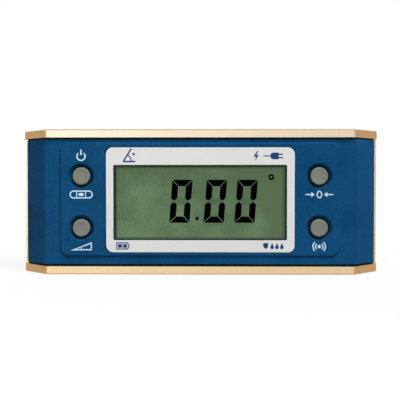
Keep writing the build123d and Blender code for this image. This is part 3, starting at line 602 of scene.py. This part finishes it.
def framed(node: str, insets: Sequence[float], radius: float) -> list[Point]:
    """Draw an outline with round corners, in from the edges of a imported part's box.

    Args:
        node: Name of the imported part.
        insets: Distances in millimetres from its left, right, bottom and top.
        radius: Radius of the corners in millimetres.

    Returns:
        As many points as a circle has.
    """
    low, high = box_of(node)
    left, right = low.x + insets[0], high.x - insets[1]
    bottom, top = low.z + insets[2], high.z - insets[3]
    shape = rounded(right - left, top - bottom, radius)
    return [((left + right) / 2 + x, (bottom + top) / 2 + z) for x, z in shape]


def placed(outline: Outline, width: float, height: float, x: float = 0.0) -> list[Point]:
    """Scale an outline drawn in a square from -1 to 1 and move it along X."""
    return [(x + a * width / 2, b * height / 2) for a, b in outline]


def quarter(radius: float, steps: int) -> list[Point]:
    """Steps round a soft edge, each as its distance out from the start and down from the crest."""
    turns = [math.pi / 2 * i / steps for i in range(steps + 1)]
    return [(radius * math.sin(t), radius * (1 - math.cos(t))) for t in turns]


def add_loops(mesh: Mesh, axis: Point, rings: Rings) -> list[Loop]:
    """Place the points of rings round an axis along Y."""
    x, z = axis
    return [[mesh.verts.new(Vector((x + a, y, z + b)) * MM) for a, b in ring] for y, ring in rings]


def bridge(mesh: Mesh, one: Loop, two: Loop) -> None:
    """Join two loops that have as many points by a ring of faces."""
    for i in range(len(one)):
        mesh.faces.new((one[i - 1], one[i], two[i], two[i - 1]))


def loft(mesh: Mesh, axis: Point, rings: Rings) -> None:
    """Join rings round an axis along Y and close both ends.

    Args:
        mesh: The mesh that gets the faces.
        axis: X and Z of the axis in millimetres.
        rings: Each ring's Y and its points about the axis, in order along the surface.
    """
    loops = add_loops(mesh, axis, rings)
    for one, two in zip(loops, loops[1:]):
        bridge(mesh, one, two)
    mesh.faces.new(loops[0])
    mesh.faces.new(loops[-1][::-1])


@dataclass
class FlatArt:
    """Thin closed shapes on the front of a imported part, drawn in millimetres."""

    carrier: str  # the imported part
    thickness: float = 0.03  # how far the shapes stand out of its front
    sink: float = 0.01  # how far they reach into it
    origin: Point = (0.0, 0.0)  # X and Z that they are drawn from
    arc_step: float = 6.0  # angle in degrees that an edge of a round line covers
    arc_least: int = 12  # least number of edges of a round line
    mesh: Mesh = field(default_factory=bmesh.new)  # the shapes, in metres

    def rims(self, outline: Outline) -> Rings:
        """Rings of an outline on the near and the far side of the shapes."""
        face = box_of(self.carrier)[0].y
        return [(face - self.thickness, outline), (face + self.sink, outline)]

    def fill(self, outline: Outline) -> None:
        """Add a plate."""
        loft(self.mesh, self.origin, self.rims(outline))

    def band(self, outer: Outline, inner: Outline) -> None:
        """Add a closed band between two outlines.

        Args:
            outer: Points of the outer edge in order.
            inner: As many points of the inner edge.
        """
        loops = add_loops(self.mesh, self.origin, self.rims(outer) + self.rims(inner)[::-1])
        for i, loop in enumerate(loops):
            bridge(self.mesh, loops[i - 1], loop)

    def bar(self, start: Point, end: Point, width: float) -> None:
        """Add a straight bar.

        Args:
            start: Middle of its first end.
            end: Middle of its last end.
            width: Its width.
        """
        a, b = Vector(start), Vector(end)
        side = (b - a).orthogonal().normalized() * (width / 2)
        self.fill([tuple(p) for p in (a + side, a - side, b - side, b + side)])

    def ring(self, centre: Point, radius: float, width: float, start: float = 0, sweep: float = 360) -> None:
        """Add a ring, or part of one.

        Args:
            centre: Middle of the ring.
            radius: Radius at the middle of its line.
            width: Width of the line.
            start: First angle in degrees, from +X towards +Z.
            sweep: Angle that the line covers in degrees.
        """
        steps = max(self.arc_least, round(sweep / self.arc_step))
        whole = sweep >= 360
        angles = [math.radians(start + sweep * i / steps) for i in range(steps + (not whole))]
        outer, inner = (
            [(centre[0] + r * math.cos(t), centre[1] + r * math.sin(t)) for t in angles]
            for r in (radius + width / 2, radius - width / 2)
        )
        if whole:
            self.band(outer, inner)
        else:
            self.fill(outer + inner[::-1])


@dataclass(frozen=True)
class Sign:
    """One printed sign, drawn in millimetres round its own middle."""

    fills: tuple[Outline, ...] = ()  # outline of each full shape
    bands: tuple[tuple[Outline, Outline], ...] = ()  # outer and inner outline of each hollow shape
    bars: tuple[tuple[Point, Point, float], ...] = ()  # start, end and width of each straight line
    arcs: tuple[tuple[Point, float, float, float, float], ...] = ()  # what ring takes, for each round line

    def draw(self, art: FlatArt, middle: Point) -> None:
        """Add the sign to some artwork.

        Args:
            art: The artwork.
            middle: Where the sign's middle goes.
        """
        art.origin = middle
        for outline in self.fills:
            art.fill(outline)
        for add, shapes in ((art.band, self.bands), (art.bar, self.bars), (art.ring, self.arcs)):
            for shape in shapes:
                add(*shape)


# Outlines in a square from -1 to 1: lightning bolt, middle line of a smaller bolt, battery and shield
BOLT = ((0.35, 1.0), (-0.9, -0.15), (-0.05, -0.15), (-0.4, -1.0), (0.9, 0.2), (0.05, 0.2), (0.75, 1.0))
JAG = ((0.2, 1.0), (-0.2, 0.05), (0.2, -0.05), (-0.2, -1.0))
BATTERY = ((-1.0, -1.0), (0.76, -1.0), (1.0, -0.4), (1.0, 0.4), (0.76, 1.0), (-1.0, 1.0))
HALF_SHIELD = ((1.0, 0.85), (1.0, 0.0), (0.6, -0.55))
SHIELD = ((0.0, 1.0), *HALF_SHIELD, (0.0, -1.0), *((-x, z) for x, z in reversed(HALF_SHIELD)))
# Outlines in millimetres: arrow that points to the left, and the body of a plug
ARROW = ((1.9, 0.0), (3.3, 1.05), (3.3, 0.25), (5.7, 0.25), (5.7, -0.25), (3.3, -0.25), (3.3, -1.05))
PLUG = ((1.3, -0.8), (2.2, -1.35), (4.6, -1.35), (4.6, 1.35), (2.2, 1.35), (1.3, 0.8))

# Open ring with a stroke through the opening
POWER_SIGN = Sign(bars=(((0.0, 0.53), (0.0, 2.71), 0.6),), arcs=(((0.0, 0.0), 1.68, 0.6, 133.0, 274.0),))
# Bubble in its vial, for the plain angle reading
VIAL_SIGN = Sign(
    fills=(oval(1.15, 0.72),),
    bands=((capsule(9.6, 3.3), capsule(8.6, 2.3)),),
    bars=tuple(((x, -1.2), (x, 1.2), 0.4) for x in (-1.85, 1.85)),
)
# Wedge with its angle, for the slope reading
SLOPE_SIGN = Sign(
    bands=((((-4.35, -1.7), (4.35, -1.7), (4.35, 1.7)), ((-2.0, -1.2), (3.85, -1.2), (3.85, 0.93))),),
    arcs=(((-4.35, -1.7), 4.4, 0.4, 4.0, 16.0),),
)
# Two arrows that meet at a nought, for setting the zero point
ZERO_SIGN = Sign(
    fills=tuple([(side * x, z) for x, z in ARROW] for side in (-1, 1)),
    bands=((oval(1.2, 1.55), oval(0.7, 1.05)),),
)
# Dot with sound waves on both sides
SOUND_SIGN = Sign(
    fills=(oval(0.69, 0.69),),
    arcs=tuple(((0.0, 0.0), radius, 0.5, start, 90.0) for radius in (1.5, 2.55) for start in (-45.0, 135.0)),
)
# Two legs with the angle between them
ANGLE_SIGN = Sign(
    fills=(oval(0.5, 0.5, (1.9, 0.6)),),
    bars=(((-2.4, -2.5), (2.55, -2.5), 0.6), ((-2.4, -2.5), (0.9, 2.8), 0.6)),
    arcs=(((-2.4, -2.5), 3.3, 0.42, 0.0, 58.0),),
)
# Bolt beside a plug on its lead
CHARGE_SIGN = Sign(
    fills=(placed(BOLT, 2.5, 4.1, -4.6), PLUG),
    bars=(((-1.6, 0.0), (1.3, 0.0), 0.42), *(((4.6, z), (6.4, z), 0.5) for z in (-0.7, 0.7))),
)
# Battery whose charge is split by a bolt
BATTERY_SIGN = Sign(
    fills=tuple(
        placed([(side, 1.0), *((x + side * 0.1, z) for x, z in JAG), (side, -1.0)], 3.75, 1.5, -0.1)
        for side in (-1.0, 1.0)
    ),
    bands=((placed(BATTERY, 5.4, 2.95), placed(BATTERY, 4.56, 2.11)),),
)
# Shield, and three drops of water that stand beside it
SHIELD_SIGN = Sign(fills=(placed(SHIELD, 2.1, 2.6),))
DROPS_SIGN = Sign(fills=tuple([(x + shift, z) for x, z in drop(0.72, 1.3)] for shift in (-2.0, 0.0, 2.0)))


@dataclass
class PrintedMarks:
    """Signs printed on one face, in millimetres."""

    name: str
    carrier: str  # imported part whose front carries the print
    ink: Finish
    slot: str  # the record's material slot, not used
    signs: tuple[tuple[Sign, str, Point], ...]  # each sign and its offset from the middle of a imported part

    def build(self) -> None:
        """Print all the signs as one piece."""
        art = FlatArt(self.carrier)
        for sign, node, (right, up) in self.signs:
            x, z = middle_of(node)
            sign.draw(art, (x + right, z + up))
        add_piece(self.name, art.mesh, self.ink)


PANEL_MARKS = PrintedMarks(
    "panel_marks",
    carrier="front_housing",
    ink=PALE_INK,
    slot="white_plate",
    signs=(
        (POWER_SIGN, "power_button", (0.0, 8.15)),
        (VIAL_SIGN, "power_button", (0.0, -7.55)),
        (SLOPE_SIGN, "tilt_button", (0.0, -7.55)),
        (ZERO_SIGN, "zero_button", (0.0, -7.55)),
        (SOUND_SIGN, "sound_button", (0.0, -7.55)),
    ),
)
PLATE_MARKS = PrintedMarks(
    "plate_marks",
    carrier="display_bezel",
    ink=NAVY_INK,
    slot="blue_abs",
    signs=(
        (ANGLE_SIGN, "display_bezel", (-29.12, 18.22)),
        (CHARGE_SIGN, "display_bezel", (27.6, 18.0)),
        (BATTERY_SIGN, "display_bezel", (-31.8, -18.98)),
        (SHIELD_SIGN, "display_bezel", (26.96, -18.94)),
        (DROPS_SIGN, "display_bezel", (31.6, -18.94)),
    ),
)


@dataclass
class Display:
    """Seven-segment reading on the liquid crystal cell, in millimetres."""

    height: float = 17.85  # height of a digit
    width: float = 8.46  # width of a digit
    stroke: float = 2.64  # width of a segment
    gap: float = 0.26  # clear line between neighbouring segments
    break_gap: float = 0.7  # clear space between the upper and lower uprights
    blunt: float = 0.3  # half the width of an upright's flat tip
    lean: float = 1.37  # sideways lean over a digit's height
    starts: tuple[float, ...] = (-12.88, 1.38, 14.12)  # left ends of the digits' feet
    foot: float = 21.11  # Z of the digits' feet
    point: Point = (-1.29, 22.86)  # middle of the decimal point
    point_radius: float = 0.74
    degree: Point = (29.48, 40.04)  # middle of the degree ring
    degree_radius: float = 0.86  # radius at the middle of the degree ring's line
    degree_line: float = 0.78  # width of the degree ring's line
    idle_thickness: float = 0.02  # how far the idle segments stand out of the cell

    def leaning(self, start: float, outline: Outline) -> list[Point]:
        """Move a digit's outline to its place and lean it over."""
        return [(start + x + self.lean * z / self.height, self.foot + z) for x, z in outline]

    def nought(self) -> list[Outline]:
        """Draw the lit segments of a nought that stands at the origin.

        Returns:
            Outlines of two uprights and a crossbar in the upper half, then of those in the lower half.
        """
        thick, cut, blunt, top = self.stroke, self.gap / math.sqrt(2), self.blunt, self.height
        half, tip, far = thick / 2, (top + self.break_gap) / 2, self.width - cut
        shoulder = tip + half - blunt
        outside = [(0.0, shoulder), (0.0, top - cut), (thick, top - thick - cut), (thick, shoulder)]
        left = outside + [(half + blunt, tip), (half - blunt, tip)]
        crossbar = [(cut, top), (far, top), (far - thick, top - thick), (thick + cut, top - thick)]
        upper = [left, [(self.width - x, z) for x, z in left], crossbar]
        return upper + [[(x, top - z) for x, z in shape] for shape in upper]

    def middle(self) -> list[Point]:
        """Draw the middle segment of a digit that stands at the origin.

        Returns:
            Its outline.
        """
        half, rise = self.stroke / 2, self.height / 2
        near, far = half + self.gap, self.stroke + self.gap
        upper = [(near, rise), (far, rise + half), (self.width - far, rise + half), (self.width - near, rise)]
        return upper + [(self.width - far, rise - half), (far, rise - half)]

    def build(self) -> None:
        """Make the reading and its idle segments on the cell's front."""
        lit, idle = FlatArt("lcd_glass"), FlatArt("lcd_glass", thickness=self.idle_thickness)
        for start in self.starts:
            for segment in self.nought():
                lit.fill(self.leaning(start, segment))
            idle.fill(self.leaning(start, self.middle()))
        lit.fill(oval(self.point_radius, self.point_radius, self.point))
        lit.ring(self.degree, self.degree_radius, self.degree_line)
        add_piece("lcd_reading", lit.mesh, SEGMENT)
        add_piece("lcd_idle_segments", idle.mesh, IDLE)


@dataclass
class DisplayEdges:
    """Dark lines round the white plate, and bands of painted shade round the cell's edge, in millimetres at
    left, right, bottom and top.
    """

    plate: str = "display_bezel"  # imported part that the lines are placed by
    joint: Sides = (0.2, 0.08, 0.06, 0.2)  # reach of the sealant out of the plate's edges
    lap: Sides = (0.2, 0.02, 0.06, 0.06)  # reach of the sealant over the plate
    corner: float = 2.9  # radius of the white face's corners inside the sealant
    depth: float = 0.3  # depth of the sealant in its joint
    rim: Sides = (3.5, 3.5, 5.35, 7.65)  # from the plate's edges across plate and holder to the bare cell
    edge_shade: Sides = (0.5, 0.25, 0.1, 0.55)  # width of the darker band of painted shade at the cell's edge
    inner_shade: Sides = (0.35, 0.9, 0.6, 0.5)  # width of the dimmer band of painted shade inside it
    cell_corner: float = 0.05  # radius of the corners of both
    thickness: float = 0.01  # how far the lines stand out of what carries them

    def build(self) -> None:
        """Make the sealant on the plate, and two bands of painted shade on the cell."""
        joint = FlatArt(self.plate, self.thickness, self.depth)
        outline = framed(self.plate, [-reach for reach in self.joint], self.corner)
        joint.band(outline, framed(self.plate, self.lap, self.corner))
        add_piece("plate_sealant", joint.mesh, SEALANT)
        inset: Sequence[float] = self.rim
        # two bands of painted shade on the cell, darker at its edge and dimmer inside
        lines = (("lcd_edge_painted_shade", self.edge_shade, CELL_EDGE_SHADE), ("lcd_inner_painted_shade", self.inner_shade, CELL_INNER_SHADE))
        for name, widths, finish in lines:
            line = FlatArt("lcd_glass", self.thickness)
            outline = framed(self.plate, inset, self.cell_corner)
            inset = [near + width for near, width in zip(inset, widths)]
            line.band(outline, framed(self.plate, inset, self.cell_corner))
            add_piece(name, line.mesh, finish)


@dataclass
class PushButton:
    """One rubber button: a dished cap with a rounded rim over its square flange and stem, in millimetres."""

    button: Button
    cap_radius: float = 3.6
    rim: float = 0.5  # radius of the cap's rounded edge
    rim_steps: int = 6  # edges of the rounding
    dish: float = 0.14  # depth of the hollow in the cap's face
    hollow: tuple[float, ...] = (0.12, 0.4, 0.65, 0.82, 0.93)  # shares of its radius at which it has rings
    flatness: int = 4  # power of its curve, which is flatter in the middle the higher it is
    flange: float = 10.2  # side of the square flange
    flange_rise: float = 0.8
    stem: float = 2.8  # side of the square stem
    stem_length: float = 1.05

    def face_rings(self, front: float) -> Rings:
        """Draw the dished face and its rounded rim.

        Args:
            front: Y of the rim's crest.

        Returns:
            Rings from the middle outwards.
        """
        crest, dish = self.cap_radius - self.rim, self.dish
        rings = [(front + dish * (1 - share**self.flatness), circle(crest * share)) for share in self.hollow]
        edge = quarter(self.rim, self.rim_steps)
        return rings + [(front + down, circle(crest + out)) for out, down in edge]

    def build(self) -> None:
        """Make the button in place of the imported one, on its own moving body."""
        name = self.button.value
        node = f"{name}_button"
        low, high = box_of(node)
        back = high.y - self.stem_length
        rings = self.face_rings(low.y) + [
            (back - self.flange_rise, circle(self.cap_radius)),
            (back - self.flange_rise, polygon(4, self.flange)),
            (back, polygon(4, self.flange)),
            (back, polygon(4, self.stem)),
            (high.y, polygon(4, self.stem)),
        ]
        mesh = bmesh.new()
        loft(mesh, middle_of(node), rings)
        piece = add_piece(f"{name}_button_dished", mesh, GREY_RUBBER, f"{name}_key")
        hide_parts(node)


@dataclass
class CoverScrews:
    """Socket-head screws of the rear cover, in millimetres."""

    head_radius: float = 2.4
    head: float = 1.6  # height of the head
    crown: tuple[Point, ...] = ((0.45, 0.0), (0.2, 0.08), (0.05, 0.25), (0.0, 0.5))  # its edge, down and in
    shank_radius: float = 1.25
    tip_radius: float = 0.75
    tip: float = 0.6  # length of the tip's cone
    socket: float = 2.0  # width of the six-sided socket across its flats
    socket_depth: float = 1.0
    mouth: float = 2.16  # width of the socket's chamfered mouth across its flats
    mouth_depth: float = 0.08

    def build(self) -> None:
        """Make the four screws in place of the plain packed ones."""
        low, high = box_of("cover_screws")
        top, seat, inset = high.y, high.y - self.head, self.head_radius
        rings = [
            (low.y, circle(self.tip_radius)),
            (low.y + self.tip, circle(self.shank_radius)),
            (seat, circle(self.shank_radius)),
            (seat, circle(self.head_radius)),
            *((top - down, circle(self.head_radius - inwards)) for down, inwards in self.crown),
            (top, polygon(6, self.mouth)),
            (top - self.mouth_depth, polygon(6, self.socket)),
            (top - self.socket_depth, polygon(6, self.socket)),
        ]
        mesh = bmesh.new()
        for x in (low.x + inset, high.x - inset):
            for z in (low.z + inset, high.z - inset):
                loft(mesh, (x, z), rings)
        piece = add_piece("cover_screws_socket_head", mesh, STEEL)
        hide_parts("cover_screws")


@dataclass
class PortFlap:
    """Rubber flap of the charging port: pad with a hinge bead, finger ribs and a plug, in millimetres."""

    thickness: float = 1.2  # of the pad, and diameter of the bead
    corner: float = 1.2  # radius of the pad's corners
    soft: float = 0.3  # radius of its soft edges
    soft_steps: int = 3  # edges of their rounding
    plug: Point = (7.4, 2.6)  # length and height of the plug that closes the port
    plug_corner: float = 0.65  # radius of the plug's corners
    lead: float = 0.2  # chamfer at the plug's tip
    ribs: int = 3
    rib_pitch: float = 1.3
    rib_rise: float = 0.2  # height of a rib above the pad
    rib_width: float = 0.6  # width of a rib at its foot
    rib_draft: float = 0.25  # how much narrower and shorter its crest is
    rib_margin: float = 1.6  # bare pad at both ends of a rib

    def soft_rings(self, back: float, front: float, length: float, height: float) -> Rings:
        """Draw a pad with soft edges on both faces.

        Args:
            back: Y of its inner face.
            front: Y of its outer face.
            length: Its length along X.
            height: Its height along Z.

        Returns:
            Rings from the inner face to the outer one.
        """
        near, far = [], []
        for out, rise in quarter(self.soft, self.soft_steps):
            inset = self.soft - out
            outline = rounded(length - 2 * inset, height - 2 * inset, self.corner - inset)
            near.append((back + rise, outline))
            far.append((front - rise, outline))
        return near + far[::-1]

    def rib_ring(self, length: float, width: float) -> list[Point]:
        """Points of an upright bar with round ends, as many as a circle has."""
        return [(x, z) for z, x in capsule(length, width, RING_POINTS // 2 - 1)]

    def build(self) -> None:
        """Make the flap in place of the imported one, on its own moving body."""
        low, high = box_of("port_flap")
        bead, width, lead = self.thickness / 2, self.rib_width, self.lead
        hinge, end, height = low.x + bead, high.x, high.z - low.z
        middle, z = (hinge + end) / 2, (low.z + high.z) / 2
        face, back, length = high.y, high.y - self.thickness, height - 2 * self.rib_margin
        mesh = bmesh.new()
        loft(mesh, (middle, z), self.soft_rings(back, face, end - hinge, height))
        tip, body = (rounded(*(side - cut for side in self.plug), self.plug_corner) for cut in (2 * lead, 0))
        loft(mesh, (middle, z), [(low.y, tip), (low.y + lead, body), (back + self.soft, body)])
        foot, crest = (self.rib_ring(length - cut, width - cut) for cut in (0, self.rib_draft))
        rib = [(face - self.soft, foot), (face, foot), (face + self.rib_rise, crest)]
        for step in range(self.ribs):
            loft(mesh, (end - self.corner - width - step * self.rib_pitch, z), rib)
        bmesh.ops.create_cone(
            mesh,
            cap_ends=True,
            segments=RING_POINTS // 2,
            radius1=bead * MM,
            radius2=bead * MM,
            depth=height * MM,
            matrix=Matrix.Translation(Vector((hinge, face - bead, z)) * MM),
        )
        piece = add_piece("port_flap_ribbed", mesh, FLAP, "flap")
        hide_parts("port_flap")


def point_at(thing: bpy.types.Object, place: Vector, aim: Vector) -> None:
    """Put a camera or lamp at a place and turn it towards a point."""
    thing.location = place
    thing.rotation_euler = (aim - place).to_track_quat("-Z", "Y").to_euler()


@dataclass(frozen=True)
class Lamp:
    """Soft rectangular lamp, in metres and watts."""

    name: str
    place: Place
    size: Point  # width and height
    power: float
    gloss: bool = True  # whether shiny surfaces show it

    def build(self, aim: Vector) -> None:
        """Hang the lamp so that it faces a point.

        Args:
            aim: The point in metres.
        """
        data = bpy.data.lights.new(self.name, "AREA")
        data.shape = "RECTANGLE"
        data.size, data.size_y = self.size
        data.energy = self.power
        lamp = add_object(self.name, data)
        point_at(lamp, Vector(self.place), aim)
        lamp.visible_transmission = False
        lamp.visible_glossy = self.gloss


@dataclass
class Studio:
    """Camera, floor, background and lamps."""

    camera_place: Place = (3.77, -306.1, 37.0)  # in millimetres, and so is the aim
    camera_aim: Place = (0.0, -16.5, 30.65)
    lens: float = 63.6  # focal length in millimetres
    sensor: float = 36.0  # width of the camera's sensor in millimetres
    near: float = 0.01  # nearest distance that the camera sees, in metres
    floor_side: float = 6.0  # in metres
    floor_gap: float = 0.02  # clear space under the base in millimetres
    paper: str = "#E4E4E4"  # colour of the floor
    paper_bounce: str = "#959595"  # its colour for the light that it throws back at the object
    shadow_share: float = 0.2  # share of the floor's own shading that the camera sees under the object
    shadow_reach: float = 0.25  # distance in metres at which that share has faded out
    room_level: float = 0.12  # brightness of the room as a light
    ceiling: Point = (0.6, 0.95)  # Z of the direction at which the room starts to darken, and is darkest
    ceiling_level: float = 0.25  # brightness of the room there, as metal mirrors it
    lamp_aim: Place = (0.0, 0.0, 0.03)  # in metres
    # A wash lights dull surfaces alone, so that the gold doesn't burn out where it mirrors the lamp beside it
    lamps: tuple[Lamp, ...] = (
        Lamp("key_softbox", (0.77, -0.853, 1.68), (0.8, 0.8), 20.0),
        Lamp("key_wash", (0.77, -0.853, 1.68), (0.8, 0.8), 24.0, gloss=False),
        Lamp("front_fill", (-0.2, -0.5, 0.3), (0.4, 0.4), 0.62),
        Lamp("side_card", (-0.38, -0.9, 0.04), (0.3, 0.4), 1.5),
        Lamp("overhead", (0.0, 0.1, 1.2), (1.2, 0.6), 1.0),
        Lamp("rear_fill", (-0.5, 1.2, 0.7), (1.2, 0.9), 3.5),
        Lamp("rear_wash", (-0.5, 1.2, 0.7), (1.2, 0.9), 10.0, gloss=False),
    )

    def build(self) -> None:
        """Set up the whole studio."""
        self.camera()
        self.floor()
        self.world()
        for lamp in self.lamps:
            lamp.build(Vector(self.lamp_aim))
        bpy.context.scene.view_settings.view_transform = "Standard"

    def camera(self) -> None:
        """Put the camera where the view is taken from."""
        data = bpy.data.cameras.new("camera")
        data.lens = self.lens
        data.sensor_width = self.sensor
        data.clip_start = self.near
        view = add_object("camera", data)
        point_at(view, Vector(self.camera_place) * MM, Vector(self.camera_aim) * MM)
        bpy.context.scene.camera = view

    def seen(self, tree: Tree) -> Node:
        """Tell what the camera sees, also in gloss and through clear parts, from what lights dull surfaces.

        Args:
            tree: Node tree of the floor or the room.

        Returns:
            One for what is seen, else nought.
        """
        path = add_node(tree, "LightPath").outputs
        share = path["Is Camera Ray"]
        for operation, other in (
            ("MAXIMUM", path["Is Glossy Ray"]),
            ("MAXIMUM", path["Is Transmission Ray"]),
            ("SUBTRACT", path["Diffuse Depth"]),
            ("MAXIMUM", 0.0),
        ):
            share = add_node(tree, "Math", {0: share, 1: other}, operation=operation)
        return share

    def floor(self) -> None:
        """Lay a plain white floor that keeps a soft shadow and doesn't hide the base from below."""
        mesh = bmesh.new()
        bmesh.ops.create_grid(mesh, x_segments=1, y_segments=1, size=self.floor_side / 2)
        data = bpy.data.meshes.new("floor")
        mesh.to_mesh(data)
        mesh.free()
        data.materials.append(self.floor_material())
        floor = add_object("floor", data)
        floor.location.z = -self.floor_gap * MM

    def floor_material(self) -> bpy.types.Material:
        """Make white paper that glows for the camera, except for some of the shadow, and is clear from below.

        Returns:
            The material.
        """
        made = bpy.data.materials.new("white_paper_floor")
        made.use_nodes = True
        tree = made.node_tree
        tree.nodes.clear()
        bounced = add_node(tree, "LightPath").outputs["Is Diffuse Ray"]
        tones = {"Factor": bounced, "A": linear(self.paper), "B": linear(self.paper_bounce)}
        shade = add_node(tree, "Mix", tones, data_type="RGBA")
        paper = add_node(tree, "BsdfDiffuse", {"Color": shade})
        glow = add_node(tree, "Emission", {"Color": linear(WHITE)})
        place = add_node(tree, "TexCoord").outputs["Object"]
        away = add_node(tree, "VectorMath", {0: place}, operation="LENGTH")
        fade = {"Value": away, "From Max": self.shadow_reach, "To Min": 1 - self.shadow_share}
        glowing = add_node(tree, "MapRange", fade)
        share = add_node(tree, "Math", {0: self.seen(tree), 1: glowing}, operation="MULTIPLY")
        top = add_node(tree, "MixShader", {0: share, 1: paper, 2: glow})
        under = add_node(tree, "NewGeometry").outputs["Backfacing"]
        open_way = add_node(tree, "BsdfTransparent")
        both = add_node(tree, "MixShader", {0: under, 1: top, 2: open_way})
        add_node(tree, "OutputMaterial", {"Surface": both})
        return made

    def world(self) -> None:
        """Give the room a white background, a darker ceiling in gloss, and a soft grey light of its own."""
        world = bpy.data.worlds.new("studio")
        world.use_nodes = True
        tree = world.node_tree
        tree.nodes.clear()
        towards = add_node(tree, "TexCoord").outputs["Generated"]
        rise = add_node(tree, "SeparateXYZ", {"Vector": towards}).outputs["Z"]
        levels = {"Value": rise, **span(self.ceiling), "To Min": 1.0, "To Max": self.ceiling_level}
        dome = add_node(tree, "MapRange", levels, interpolation_type="SMOOTHSTEP")
        direct = add_node(tree, "LightPath").outputs["Is Camera Ray"]
        shown = add_node(tree, "Math", {0: dome, 1: direct}, operation="MAXIMUM")
        light, background = (
            add_node(tree, "Background", {"Color": linear(WHITE), "Strength": level})
            for level in (self.room_level, shown)
        )
        mix = add_node(tree, "MixShader", {0: self.seen(tree), 1: light, 2: background})
        add_node(tree, "OutputWorld", {"Surface": mix})
        bpy.context.scene.world = world


def dress_packed_parts() -> None:
    """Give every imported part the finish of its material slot."""
    for name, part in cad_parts.items():
        slot = part.material_slots[0]
        slot.material = SLOT_FINISHES[slot.name].material()
        log.info("dressed %s as %s", name, slot.material.name)


def main() -> None:
    """Build the looks in order and note the size."""
    logging.basicConfig(level=logging.INFO, format="%(name)s %(message)s")
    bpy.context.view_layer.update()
    Studio().build()
    dress_packed_parts()
    Display().build()
    DisplayEdges().build()
    PANEL_MARKS.build()
    PLATE_MARKS.build()
    for button in Button:
        PushButton(button).build()
    CoverScrews().build()
    PortFlap().build()


if __name__ == "__main__":
    main()
